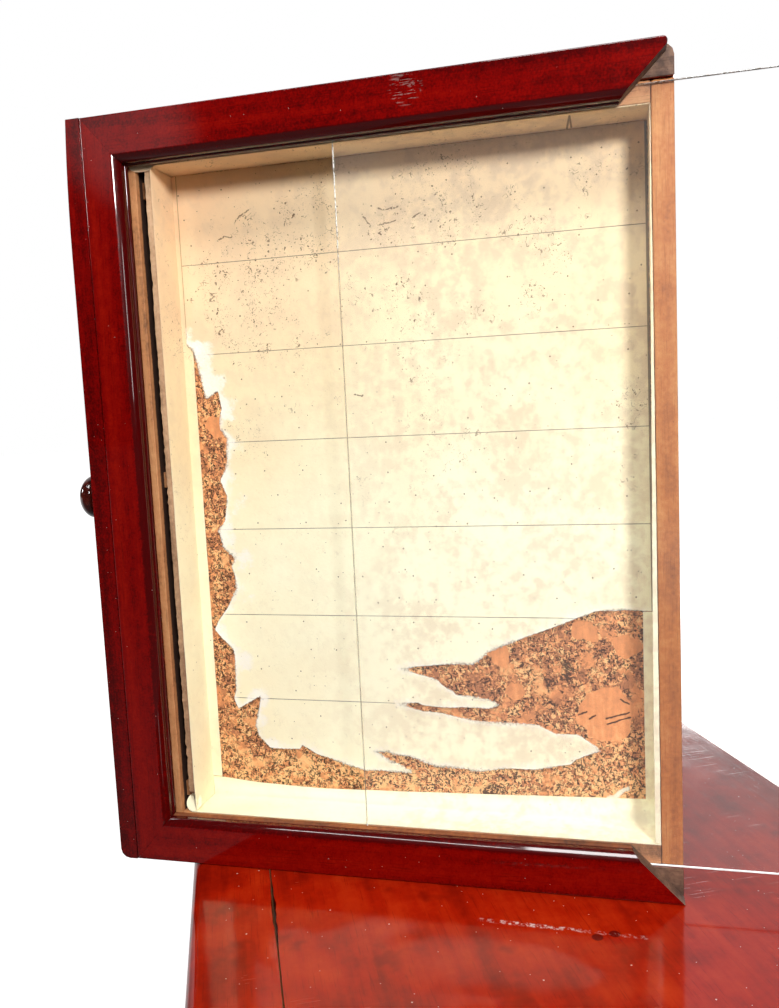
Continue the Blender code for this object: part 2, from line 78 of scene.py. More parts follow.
class Stain:
    """A socket of a finish; sums, products and comparisons of stains add Math nodes."""

    def __init__(self, tree, socket=None):
        self.tree = tree
        self.socket = socket

    def node(self, kind, settings=None, sockets=None, output=0):
        """Adds a node: its settings first, then the values or links of its sockets."""
        made = self.tree.nodes.new("ShaderNode" + kind)
        for key, value in (settings or {}).items():
            if key == "stops":
                for _ in value[2:]:
                    made.color_ramp.elements.new(1.0)
                for element, (place, colour) in zip(made.color_ramp.elements, value):
                    element.position = place
                    element.color = (*colour, 1.0)
            else:
                setattr(made, key, value)
        for key, value in (sockets or {}).items():
            if isinstance(value, Stain):
                self.tree.links.new(value.socket, made.inputs[key])
            elif made.inputs[key].type == "RGBA":
                made.inputs[key].default_value = (*value, 1.0)
            else:
                made.inputs[key].default_value = value
        return Stain(self.tree, made.outputs[output])

    def math(self, operation, other=0.0):
        return self.node("Math", {"operation": operation}, {0: self, 1: other})

    def __rsub__(self, other):
        return self.node("Math", {"operation": "SUBTRACT"}, {0: other, 1: self})

    __add__ = __radd__ = partialmethod(math, "ADD")
    __sub__ = partialmethod(math, "SUBTRACT")
    __mul__ = __rmul__ = partialmethod(math, "MULTIPLY")
    __truediv__ = partialmethod(math, "DIVIDE")
    __pow__ = partialmethod(math, "POWER")
    __lt__ = partialmethod(math, "LESS_THAN")
    __gt__ = partialmethod(math, "GREATER_THAN")
    __and__ = partialmethod(math, "MINIMUM")
    __or__ = partialmethod(math, "MAXIMUM")
    __abs__ = partialmethod(math, "ABSOLUTE")

    def ramp(self, low, high):
        """0 below low, 1 above high and a smooth step between; low may be the higher."""
        return self.node("MapRange", {"interpolation_type": "SMOOTHSTEP"},
                         {"Value": self, "From Min": low, "From Max": high})

    def blend(self, first, second):
        """The first colour where this is 0, the second where it is 1."""
        return self.node("Mix", {"data_type": "RGBA"}, {0: self, 6: first, 7: second}, output=2)

    def tones(self, places, colours):
        """Colours that run into each other, each at its place on this."""
        return self.node("ValToRGB", {"stops": list(zip(places, colours))}, {"Fac": self})


def blank(name):
    """A new material and the start of its nodes."""
    material = bpy.data.materials.new(name)
    material.use_nodes = True
    return material, Stain(material.node_tree)


def parts_of(coords):
    """The three numbers of a place."""
    return [coords.node("SeparateXYZ", None, {0: coords}, output=axis) for axis in "XYZ"]


def ray(start, kind):
    """1 for light of a kind and 0 for other light."""
    return start.node("LightPath", output="Is %s Ray" % kind)


camera_data = bpy.data.cameras.new("camera")
camera_data.lens = camera_data.sensor_width * FOCAL_PIXELS / PICTURE[1]
camera = bpy.data.objects.new("camera", camera_data)
turned = Matrix((RIGHTWARDS, UPWARDS, -FORWARDS)).transposed().to_4x4()
camera.matrix_world = Matrix.Translation(EYE) @ turned
bpy.context.collection.objects.link(camera)
bpy.context.scene.camera = camera
bpy.context.scene.view_settings.view_transform = "Standard"

for name, aim, towards, distance, size, watts in LIGHTS:
    light_data = bpy.data.lights.new(name, "AREA")
    light_data.shape = "RECTANGLE"
    light_data.size, light_data.size_y = size
    light_data.energy = watts
    light = bpy.data.objects.new(name, light_data)
    direction = Vector(towards).normalized()
    light.location = Vector(aim) + direction * distance
    light.rotation_euler = direction.to_track_quat("Z", "Y").to_euler()
    bpy.context.collection.objects.link(light)

room = bpy.data.worlds.new("room")
room.use_nodes = True
start = Stain(room.node_tree)
seen = ray(start, "Camera") | ray(start, "Transmission")
mirrored = ray(start, "Glossy")
towards = start.node("TexCoord", output="Generated")
across, along, upward = parts_of(towards)
sheen = DIM_LEVEL + across.ramp(0.0, -0.35) * along.ramp(-0.75, -0.35) * (FAR_WALL_LEVEL - DIM_LEVEL)
facing = start.node("VectorMath", {"operation": "DOT_PRODUCT"}, {0: towards, 1: PALE_WALL}, output="Value")
sheen = sheen | facing.ramp(*PALE_WALL_EDGE) * PALE_WALL_LEVEL
soft = ROOM_LEVELS[0] + upward.ramp(-0.3, 0.9) * (ROOM_LEVELS[1] - ROOM_LEVELS[0])
soft = soft + along.ramp(0.1, -0.9) * FRONT_LEVEL
level = seen | mirrored * sheen | (1 - (seen | mirrored)) * soft
background = room.node_tree.nodes["Background"]
background.inputs["Color"].default_value = (1.0, 1.0, 1.0, 1.0)
room.node_tree.links.new(level.socket, background.inputs["Strength"])
bpy.context.scene.world = room

floor_paint, start = blank("floor_paint")
floor_tree = floor_paint.node_tree
floor_shader = floor_tree.nodes["Principled BSDF"]
floor_shader.inputs["Roughness"].default_value = FLOOR_ROUGHNESS
floor_place = start.node("TexCoord", output="Object")
far_half = parts_of(floor_place)[0].ramp(0.2, -0.5)
far_off = start.node("VectorMath", {"operation": "LENGTH"}, {0: floor_place}, output="Value").ramp(0.9, 2.2)
shown = ray(start, "Camera") | ray(start, "Transmission")
floor_tree.links.new(shown.blend(FLOOR_DIM, FLOOR_PALE).socket, floor_shader.inputs["Base Color"])
shown = shown | ray(start, "Glossy") * far_half
glow = start.node("Emission", None, {"Strength": shown * (FLOOR_GLOW + far_off * (1 - FLOOR_GLOW))})
lit = start.node("AddShader", None, {0: Stain(floor_tree, floor_shader.outputs[0]), 1: glow})
floor_tree.links.new(lit.socket, floor_tree.nodes["Material Output"].inputs["Surface"])
bm = bmesh.new()
bmesh.ops.create_grid(bm, x_segments=1, y_segments=1, size=FLOOR_SIZE / 2)
bmesh.ops.translate(bm, vec=(0, 0, -FLOOR_DROP), verts=bm.verts)
floor_mesh = bpy.data.meshes.new("studio_floor")
bm.to_mesh(floor_mesh)
bm.free()
floor_mesh.materials.append(floor_paint)
studio_floor = bpy.data.objects.new("studio_floor", floor_mesh)
bpy.context.collection.objects.link(studio_floor)

# Base board and side panels of the chest: solid mahogany, stained deep red and French polished.
# The panels stand on the base and are housed into it; every arris is taken off with a plane.
CASE_TONES = ((0.04, 0.002, 0.002), (0.15, 0.006, 0.003), (0.27, 0.017, 0.005))
DUST = (0.62, 0.52, 0.48)
ARRIS = 0.0012
MERGED = 0.00002
FLAT = radians(1)
SHARP = radians(40)
UNTURNED = ((0, 0, 0), (0, 0, 0))
POLISH_WAVES = 0.0003
STREAKS = (5.0, 95.0)
PORES = (45.0, 1400.0)
POLISH_COAT = {"Specular IOR Level": 0.08, "Coat Weight": 0.9, "Coat Roughness": 0.05}


def on_bench(start, bench=UNTURNED):
    """Object coordinates in the frame that a piece was made in; a bench is its place and its turn."""
    flat = start.node("TexCoord", output="Object")
    return start.node("Mapping", {"vector_type": "TEXTURE"},
                      {"Vector": flat, "Location": bench[0], "Rotation": bench[1]})


def stretched(coords, along, sizes):
    """Coordinates drawn out along the grain."""
    scale = [sizes[1]] * 3
    scale[along] = sizes[0]
    return coords.node("VectorMath", {"operation": "MULTIPLY"}, {0: coords, 1: scale})


def cloud(coords, scale=1.0, detail=3.0, roughness=0.55):
    """Soft noise between 0 and 1."""
    return coords.node("TexNoise", None, {"Vector": coords, "Scale": scale, "Detail": detail,
                                          "Roughness": roughness})


def drawn_lots(cells, lattice=None):
    """A number between 0 and 1 for each cell of a lattice."""
    coords = cells["Vector"]
    return coords.node("SeparateColor", None, {0: coords.node("TexVoronoi", lattice, cells, output="Color")})


def specks(coords, scale, radius, share, lattice=None):
    """Round specks of a radius in metres, in a share of the cells of a lattice."""
    cells = {"Vector": coords, "Scale": scale}
    near = coords.node("TexVoronoi", lattice, cells, output="Distance") < radius * scale
    return near * (drawn_lots(cells, lattice) < share)


def lay_on(material, colour, roughness, relief=None, depth=0.0, others=None):
    """Links a finish to its shader; relief is a height that reaches to a depth in metres."""
    tree = material.node_tree
    shader = tree.nodes["Principled BSDF"]
    sockets = {"Base Color": colour, "Roughness": roughness, **(others or {})}
    if relief is not None:
        sockets["Normal"] = relief.node("Bump", None, {"Height": relief, "Distance": depth})
    for key, value in sockets.items():
        if isinstance(value, Stain):
            tree.links.new(value.socket, shader.inputs[key])
        else:
            shader.inputs[key].default_value = value
    return material


def polish(name, along, tones, bench=UNTURNED, shade=None, scuff=None):
    """French polish: long streaks, fine dark pores, a little dust and a gloss that is slightly wavy."""
    material, start = blank(name)
    coords = on_bench(start, bench)
    tone = cloud(stretched(coords, along, STREAKS), detail=6.0) * 0.4
    tone = tone + cloud(coords, 190.0, 5.0, 0.65) * 0.3 + cloud(coords, 750.0, 2.0) * 0.3
    if shade is not None:
        tone = tone + shade(*parts_of(coords))
    colour = tone.tones((0.35, 0.5, 0.66), tones)
    pores = cloud(stretched(coords, along, PORES), detail=2.0).ramp(0.56, 0.7)
    colour = (pores * 0.45).blend(colour, tones[0])
    dust = specks(coords, 420.0, 0.00024, 0.07)
    if scuff is not None:
        dust = dust | scuff(coords, *parts_of(coords))
    colour = (dust * 0.5).blend(colour, DUST)
    roughness = 0.18 + cloud(coords, 24.0) * 0.1 + dust * 0.4
    waves = cloud(coords, 70.0, 1.0) + cloud(coords, 420.0, 2.0) * 0.1 - pores * 0.05
    return lay_on(material, colour, roughness, waves, POLISH_WAVES, POLISH_COAT)


def sawn(node):
    """A copy of a CAD piece, each flat side in one face."""
    bm = bmesh.new()
    bm.from_mesh(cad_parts[node].data)
    bmesh.ops.remove_doubles(bm, verts=bm.verts, dist=MERGED)
    bmesh.ops.dissolve_limit(bm, angle_limit=FLAT, verts=bm.verts, edges=bm.edges)
    return bm


def round_off(bm, edges, width, steps, clamped=False):
    """Rounds some edges of a mesh."""
    bmesh.ops.bevel(bm, geom=edges, offset=width, segments=steps, profile=0.5, affect="EDGES", material=-1,
                    clamp_overlap=clamped)


def eased(node, width=ARRIS, steps=2):
    """A copy of a CAD piece with its arrises taken off."""
    bm = sawn(node)
    arrises = [edge for edge in bm.edges if edge.calc_face_angle(0.0) > SHARP]
    round_off(bm, arrises, width, steps, True)
    return bm


def settle(name, bm, material, body, node):
    """Makes a piece of a mesh, and sets it on its body in place of its CAD node."""
    mesh = bpy.data.meshes.new(name)
    bmesh.ops.recalc_face_normals(bm, faces=bm.faces)
    bm.to_mesh(mesh)
    bm.free()
    mesh.materials.append(material)
    mesh.shade_smooth()
    mesh.set_sharp_from_angle(angle=SHARP)
    piece = bpy.data.objects.new(name, mesh)
    piece.modifiers.new("true_faces", "WEIGHTED_NORMAL").keep_sharp = True
    bpy.context.collection.objects.link(piece)
    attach(piece, body)
    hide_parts(node)
    return piece


case_polish = polish("case_polish", 2, CASE_TONES)
base_polish = polish("base_polish", 0, CASE_TONES)
settle("chest_base", eased("base_board"), base_polish, "chest", "base_board")
for node in ("left_panel", "right_panel"):
    settle("chest_" + node, eased(node), case_polish, "chest", node)

# Back panel and dividers of the chest: thin softwood boards, planed and left bare.
# The back is let in between the panels, and the dividers are slid into grooves in them.
WOOD_TONES = ((0.23, 0.085, 0.03), (0.44, 0.2, 0.075), (0.56, 0.31, 0.14))
YEAR_RINGS = (3.0, 60.0)
FIBRES = (60.0, 1500.0)
FIBRE_RELIEF = 0.0002
FINE_ARRIS = 0.0006


def bare_wood(name, along, bench=UNTURNED, tones=WOOD_TONES, shade=None):
    """Planed wood without a finish: year rings, fine fibres and a little grime."""
    material, start = blank(name)
    coords = on_bench(start, bench)
    tone = cloud(stretched(coords, along, YEAR_RINGS), detail=5.0) * 0.55 + cloud(coords, 40.0) * 0.25
    tone = tone + cloud(coords, 420.0, 3.0) * 0.2
    if shade is not None:
        tone = tone + shade(*parts_of(coords))
    colour = tone.tones((0.33, 0.48, 0.63), tones)
    fibres = cloud(stretched(coords, along, FIBRES), detail=2.0)
    colour = (fibres.ramp(0.55, 0.75) * 0.45).blend(colour, tones[0])
    grime = specks(coords, 210.0, 0.0004, 0.25)
    colour = (grime * 0.5).blend(colour, tones[0])
    return lay_on(material, colour, 0.55 + fibres * 0.3, fibres, FIBRE_RELIEF)


back_wood = bare_wood("back_panel_wood", 0)
divider_wood = bare_wood("divider_wood", 0)
settle("chest_back", eased("back_panel"), back_wood, "chest", "back_panel")
for number in range(1, 5):
    node = "divider_%d" % number
    settle("chest_" + node, eased(node, FINE_ARRIS), divider_wood, "chest", node)

# Top of the chest: two mahogany boards, polished to a mirror and rounded on their outer edges.
# The joint between them has opened into a ragged crack; the polish is dusty, with a long pale line that is
# partly a scratch and partly a painted glint, and two dark spots near the loose drawer.
TOP_TONES = ((0.125, 0.0025, 0.0008), (0.295, 0.009, 0.0011), (0.42, 0.027, 0.004))
TOP_STREAKS = (5.0, 130.0)
TOP_PORES = (60.0, 1300.0)
SCRATCHES = (30.0, 900.0)
FLAT_CELLS = {"voronoi_dimensions": "2D"}
TOP_GLOSS = {"Specular IOR Level": 0.3}
TOP_WAVES = 0.0004
TOP_ROUND = 0.006
ROUND_STEPS = 6
CRACK_CUTS = 150
CRACK_WAVER = 0.0003
CRACK_CHIP = 0.0012
CRACK_FINE = 55.0
CRACK_WIDE_AT = 0.105
CRACK_WIDE_REACH = 0.035
GLINT = ((-0.05, 0.1425), (0.029, 0.1808))
GLINT_WIDTH = 0.0016
SPOTS = [(0.005, 0.174, 0.0034), (0.015, 0.1735, 0.0034)]


def cut_across(bm, axis, least, cuts):
    """Cuts up every edge that is longer than a least length along an axis."""
    long_edges = [edge for edge in bm.edges if abs((edge.verts[0].co - edge.verts[1].co)[axis]) > least]
    bmesh.ops.subdivide_edges(bm, edges=long_edges, cuts=cuts, use_grid_fill=True)


def top_board(node, joint_side):
    """A board of the top, rounded on its outer edges and ragged at its joint, which is on one side of y."""
    low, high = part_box(node)
    bm = bmesh.new()
    bmesh.ops.create_cube(bm, size=1.0)
    bmesh.ops.scale(bm, vec=high - low, verts=bm.verts)
    bmesh.ops.translate(bm, vec=(low + high) / 2, verts=bm.verts)
    joint = high.y if joint_side > 0 else low.y
    at_joint = [edge for edge in bm.edges if all(abs(vert.co.y - joint) < MERGED for vert in edge.verts)]
    outer = [edge for edge in bm.edges if edge not in at_joint]
    round_off(bm, outer, TOP_ROUND, ROUND_STEPS)
    cut_across(bm, 0, high.x, CRACK_CUTS)
    for vert in bm.verts:
        if abs(vert.co.y - joint) < MERGED and abs(vert.co.x) < high.x - 2 * TOP_ROUND:
            along = Vector((vert.co.x * CRACK_FINE, joint_side * 3.0, 0.0))
            chip = noise.noise(along * 4.0) * CRACK_WAVER * 0.5 + abs(noise.noise(along)) * CRACK_WAVER
            if vert.co.z > (low.z + high.z) / 2:
                wide = max(0.0, 1 - ((vert.co.x - CRACK_WIDE_AT) / CRACK_WIDE_REACH) ** 2)
                chip += wide * CRACK_CHIP * (0.6 + noise.noise(along * 2.0))
            vert.co.y -= joint_side * max(0.0, chip)
    return bm


def disc(x, y, middle, radius):
    """1 in the middle of a soft round patch and 0 outside; the middle is given in y and x."""
    along = (y - middle[0]) / radius
    across = (x - middle[1]) / radius
    return (along * along + across * across).ramp(1.0, 0.55)


def stroke(x, y, first, second, width):
    """1 on a short straight mark between two places and 0 off it; places are given in y and x."""
    run = Vector(second) - Vector(first)
    share = (((y - first[0]) * run[0] + (x - first[1]) * run[1]) / run.length_squared | 0.0) & 1.0
    along = y - first[0] - share * run[0]
    across = x - first[1] - share * run[1]
    return ((along * along + across * across) ** 0.5).ramp(width * 1.4, width * 0.6)


def top_polish(name):
    """The red polish of the top, with scratches across it and darker along its front and back edges."""
    material, start = blank(name)
    coords = on_bench(start)
    x, y = parts_of(coords)[:2]
    tone = cloud(stretched(coords, 0, TOP_STREAKS), detail=7.0) * 0.3 + cloud(coords, 22.0, 6.0, 0.65) * 0.7
    colour = tone.tones((0.3, 0.5, 0.7), TOP_TONES)
    pores = cloud(stretched(coords, 0, TOP_PORES), detail=2.0).ramp(0.58, 0.72)
    blotches = cloud(coords, 34.0, 3.0).ramp(0.58, 0.72) * 0.55
    colour = (pores * 0.45 | blotches).blend(colour, TOP_TONES[0])
    scratch = cloud(stretched(coords, 1, SCRATCHES), detail=0.0).ramp(0.7, 0.76)
    scratch = scratch * cloud(coords, 18.0).ramp(0.5, 0.65)
    colour = (scratch * 0.25).blend(colour, TOP_TONES[2])
    dust = specks(coords, 90.0, 0.00045, 0.03, FLAT_CELLS) | specks(coords, 170.0, 0.00025, 0.06, FLAT_CELLS)
    colour = (dust * 0.7).blend(colour, DUST)
    edge = (y.ramp(0.2012, 0.2077) | y.ramp(-0.2047, -0.2087)) * cloud(coords, 60.0).ramp(0.35, 0.6)
    colour = (edge * 0.7).blend(colour, TOP_TONES[0])
    # The long pale line is partly a scratch and partly a painted glint, brightest near its middle.
    glint = stroke(x, y, *GLINT, GLINT_WIDTH) * cloud(coords, 300.0, 4.0, 0.65).ramp(0.46, 0.66)
    glint_peak = y.ramp(0.004, -0.014) * y.ramp(-0.048, -0.032)
    colour = (glint * (0.25 + glint_peak * 0.65)).blend(colour, DUST)
    for along, across, radius in SPOTS:
        colour = (disc(x, y, (along, across), radius) * 0.75).blend(colour, CASE_TONES[0])
    dust = dust | glint
    roughness = 0.05 + cloud(coords, 20.0) * 0.09 + scratch * 0.25 + dust * 0.4
    waves = cloud(coords, 26.0, 1.0) + cloud(coords, 300.0, 2.0) * 0.03 - pores * 0.02 - scratch * 0.04
    return lay_on(material, colour, roughness, waves, TOP_WAVES, TOP_GLOSS)


mirror_polish = top_polish("top_polish")
settle("top_strip", top_board("top_front_strip", 1), mirror_polish, "chest", "top_front_strip")
settle("top_main_board", top_board("top_board", -1), mirror_polish, "chest", "top_board")

# Knobs: small turned mahogany bulbs, nearly black with polish and handling.
# Each has a spigot that is glued into a hole bored through the drawer front.
KNOB_TONES = ((0.01, 0.0012, 0.001), (0.045, 0.005, 0.003), (0.11, 0.016, 0.008))
DRAWER_HEIGHT = 0.052
KNOB_TURNS = 48
SPIGOT = [(0.0, -0.009), (0.005, -0.009), (0.005, 0.0003)]
COLLAR = [(0.0072, 0.0003), (0.0075, 0.0006), (0.0075, 0.0017), (0.0072, 0.002), (0.0066, 0.0024)]
NECK = [(0.0058, 0.0036), (0.0055, 0.005), (0.0058, 0.0058)]
BULB_RADIUS = 0.014
BULB_MIDDLE = 0.01365
BULB_HALF = 0.00815
KNOB_ACROSS = -0.003
BULB_STEPS = 14
BULB_START = radians(-50)


def turned_knob():
    """A knob on its spigot, in the frame of its drawer."""
    angles = [BULB_START + (pi / 2 - BULB_START) * step / BULB_STEPS for step in range(BULB_STEPS)]
    bulb = [(BULB_RADIUS * cos(angle), BULB_MIDDLE + BULB_HALF * sin(angle)) for angle in angles]
    outline = SPIGOT + COLLAR + NECK + bulb + [(0.0, BULB_MIDDLE + BULB_HALF)]
    bm = bmesh.new()
    points = [bm.verts.new((0, -out, radius)) for radius, out in outline]
    for first, second in zip(points, points[1:]):
        bm.edges.new((first, second))
    bmesh.ops.spin(bm, geom=bm.verts[:] + bm.edges[:], cent=(0, 0, 0), axis=(0, 1, 0), angle=2 * pi,
                   steps=KNOB_TURNS, use_merge=True)
    bmesh.ops.remove_doubles(bm, verts=bm.verts, dist=MERGED)
    bmesh.ops.translate(bm, vec=(KNOB_ACROSS, 0, DRAWER_HEIGHT / 2), verts=bm.verts)
    return bm


# Drawers in the chest: mahogany fronts and glued rails, softwood trays, glass and a whole paper lining.
# Each slides on the divider or the base under it; its pane is shut in by the four rails.
CASE_FRONT = -0.18165
FIRST_SLOT = 0.0203
SLOT_PITCH = 0.0575
PAPER_GRAIN = 0.0001
CREAM = (0.83, 0.7, 0.47)
PALE_CREAM = (0.9, 0.82, 0.61)
FOXED = (0.33, 0.19, 0.085)
CLEAR = (0.9, 0.95, 0.93, 1.0)
PANE_ALPHA = 0.022
RAIL_FRAME_ARRIS = 0.0005


def clean_paper(name):
    """Whole lining paper, faintly mottled and foxed."""
    material, start = blank(name)
    coords = on_bench(start)
    colour = cloud(coords, 14.0).ramp(0.3, 0.7).blend(CREAM, PALE_CREAM)
    fox = cloud(coords, 700.0, 2.0).ramp(0.66, 0.74) * cloud(coords, 22.0).ramp(0.5, 0.7)
    colour = (fox * 0.6).blend(colour, FOXED)
    return lay_on(material, colour, 0.85, cloud(coords, 500.0), PAPER_GRAIN)


def clear_glass(name):
    """Sheet glass, thin enough to show only its reflections and a trace of dust."""
    material, start = blank(name)
    coords = on_bench(start)
    haze = cloud(coords, 16.0, 4.0).ramp(0.45, 0.75) * 0.008 + specks(coords, 90.0, 0.0002, 0.1) * 0.25
    return lay_on(material, CLEAR, 0.03 + haze, others={"Alpha": PANE_ALPHA + haze})


front_polish = polish("drawer_front_polish", 0, CASE_TONES)
knob_polish = polish("knob_polish", 1, KNOB_TONES)
tray_wood = bare_wood("tray_wood", 1)
lining_paper = clean_paper("whole_lining_paper")
pane_glass = clear_glass("pane_glass")
for number in range(1, 5):
    body = "drawer_%d" % number
    place = Matrix.Translation((0, CASE_FRONT, FIRST_SLOT + (number - 1) * SLOT_PITCH))
    front, rails, knob = body + "_front_board", body + "_rails", turned_knob()
    settle(body + "_polished_front", eased(front), front_polish, body, front)
    settle(body + "_rail_frame", eased(rails, RAIL_FRAME_ARRIS), front_polish, body, rails)
    bmesh.ops.transform(knob, matrix=place, verts=knob.verts)
    settle(body + "_turned_knob", knob, knob_polish, body, body + "_knob")
    for part, finish in (("_tray", tray_wood), ("_lining", lining_paper), ("_pane", pane_glass)):
        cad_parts[body + part].data.materials[0] = finish

# Boards of the loose drawer: front, sides, back and bottom, planed and nailed together.
# The front and the sides are polished mahogany, worn at the corners; back and bottom are bare.
DRAWER_WIDTH = 0.4645
DRAWER_DEPTH = 0.3513
HALF_WIDTH = DRAWER_WIDTH / 2
CHEST_TOP = 0.3235
STAND_GAP = 0.0003
STAND_TURN = radians(24.4)
STAND_CORNER = Vector((0.01455, -0.2561, CHEST_TOP + STAND_GAP))
STAND_FACING = Vector((cos(STAND_TURN), -sin(STAND_TURN), 0))
STAND_BACKWARDS = Vector((sin(STAND_TURN), cos(STAND_TURN), 0))
STAND_PLACE = STAND_CORNER + Vector((0, 0, HALF_WIDTH)) - STAND_FACING * DRAWER_HEIGHT
STAND_EULER = Euler((0, pi / 2, -STAND_TURN))
STAND = Matrix.Translation(STAND_PLACE) @ STAND_EULER.to_matrix().to_4x4()
STAND_BENCH = (STAND_PLACE, STAND_EULER)
FRONT_THICKNESS = 0.0115
FRONT_ARRIS = 0.0008
BACK_ARRIS = 0.0007
BOTTOM_ARRIS = 0.0005
FACING = 0.5
RED_TONES = ((0.055, 0.0004, 0.0006), (0.165, 0.0008, 0.0005), (0.24, 0.004, 0.001))
GRIMY_TONES = ((0.015, 0.007, 0.005), (0.1, 0.05, 0.032), (0.3, 0.16, 0.095))
BACK_TONES = ((0.18, 0.043, 0.007), (0.45, 0.14, 0.026), (0.6, 0.258, 0.072))
WORN_FROM = -0.155
WORN_DEPTH = 0.0026
WORN_CUTS = 6


def unstood(bm):
    """Lays a mesh of the standing drawer flat in the drawer's own frame."""
    bmesh.ops.transform(bm, matrix=STAND.inverted(), verts=bm.verts)
    return bm


def stood(bm):
    """Stands a mesh up from the drawer's own frame."""
    bmesh.ops.transform(bm, matrix=STAND, verts=bm.verts)
    return bm


def loose(name, bm, material, node):
    """Sets a piece on the loose drawer."""
    return settle("loose_" + name, bm, material, "loose_drawer", node)


def reface(piece, material, chosen):
    """Gives the chosen faces of a piece another material."""
    piece.data.materials.append(material)
    for polygon in piece.data.polygons:
        if chosen(polygon):
            polygon.material_index = len(piece.data.materials) - 1


edge_polish = polish("front_board_polish", 0, RED_TONES, STAND_BENCH,
                     lambda x, y, z: z.ramp(0.0505, 0.0515) * -0.05 + x.ramp(0.0, 0.23) * -0.04)
side_polish = polish("side_polish", 1, RED_TONES, STAND_BENCH)
side_wood = bare_wood("side_board_wood", 1, STAND_BENCH, GRIMY_TONES)
back_board_wood = bare_wood("back_board_wood", 0, STAND_BENCH, BACK_TONES,
                            lambda x, y, z: x.ramp(-0.1, 0.16) * -0.07 + 0.06)
bottom_wood = bare_wood("bottom_wood", 0, STAND_BENCH)
loose_knob_polish = polish("loose_knob_polish", 1, KNOB_TONES, STAND_BENCH)
worn_front = unstood(eased("front_board", FRONT_ARRIS))
for cut in range(WORN_CUTS):
    across = WORN_FROM - (WORN_FROM + HALF_WIDTH) * cut / WORN_CUTS
    bmesh.ops.bisect_plane(worn_front, geom=worn_front.verts[:] + worn_front.edges[:] + worn_front.faces[:],
                           plane_co=(across, 0, 0), plane_no=(1, 0, 0))
for vert in worn_front.verts:
    worn = max(0.0, (WORN_FROM - vert.co.x) / (WORN_FROM + HALF_WIDTH))
    if vert.co.y < FRONT_THICKNESS / 2:
        vert.co.y += WORN_DEPTH * worn * worn
loose("front", stood(worn_front), edge_polish, "front_board")
for node in ("left_side", "right_side"):
    side = loose(node, eased(node, FINE_ARRIS), side_polish, node)
    reface(side, side_wood, lambda polygon: polygon.normal.dot(STAND_FACING) > FACING)
loose("back", eased("back_board", BACK_ARRIS), back_board_wood, "back_board")
loose("bottom", eased("bottom_board", BOTTOM_ARRIS), bottom_wood, "bottom_board")
loose("turned_knob", stood(turned_knob()), loose_knob_polish, "knob")

# Ledges, partition and spacer blocks: strips of bare wood glued round the inside of the loose drawer.
# The pane slides on the ledges; the partition and its blocks leave a narrow cell behind the front ledge.
# The partition is rough along its upper edge and broken off low at its right end.
FUZZ_RISE = 0.0009
FUZZ_CUTS = 220
FUZZ_SEED = 4
FUZZ_TONES = ((0.23, 0.115, 0.06), (0.56, 0.33, 0.18), (0.76, 0.51, 0.31))
LEDGE_TONES = ((0.03, 0.012, 0.006), (0.52, 0.215, 0.08), (0.66, 0.33, 0.14))
THIN_ARRIS = 0.0004
PARTITION_ARRIS = 0.0005
CELL_SHADE_DEPTHS = (0.0365, 0.0325)
CELL_PAINTED_SHADE = -0.6
PARTITION_TOP = 0.0384
FUZZ_DEPTH = 0.001
FUZZ_FINE = 420.0
FUZZ_SIDEWAYS = 0.6
BROKEN_FROM = 0.193
BROKEN_DROP = 0.0075
# Towards the front, the left ledge is painted darker as painted shade under the left rail.
side_ledge_wood = bare_wood("side_ledge_wood", 1, STAND_BENCH, LEDGE_TONES,
                            lambda x, y, z: x.ramp(-0.19, -0.2) * y.ramp(0.3, 0.2) * -0.14)
# Deep in the cell the front ledge is painted nearly black, as painted shade in the narrow cell.
cross_wood = bare_wood("front_ledge_wood", 0, STAND_BENCH, LEDGE_TONES,
                       lambda x, y, z: z.ramp(*CELL_SHADE_DEPTHS) * CELL_PAINTED_SHADE)
block_wood = bare_wood("block_wood", 0, STAND_BENCH, LEDGE_TONES)
partition_wood = bare_wood("partition_wood", 0, STAND_BENCH, FUZZ_TONES)
for node in ("left_ledge", "right_ledge"):
    loose(node, eased(node, THIN_ARRIS), side_ledge_wood, node)
loose("front_ledge", eased("front_ledge", FINE_ARRIS), cross_wood, "front_ledge")
for number in range(1, 4):
    node = "cell_block_%d" % number
    loose(node, eased(node, THIN_ARRIS), block_wood, node)
noise.seed_set(FUZZ_SEED)
partition = unstood(eased("cell_partition", PARTITION_ARRIS, 1))
cut_across(partition, 0, HALF_WIDTH, FUZZ_CUTS)
for vert in partition.verts:
    if vert.co.z > PARTITION_TOP - FUZZ_DEPTH:
        rough = noise.noise_vector(vert.co * FUZZ_FINE)
        vert.co += Vector((0, rough.y * FUZZ_SIDEWAYS, rough.z)) * FUZZ_RISE
        if vert.co.x > BROKEN_FROM:
            vert.co.z -= BROKEN_DROP
loose("partition", stood(partition), partition_wood, "cell_partition")

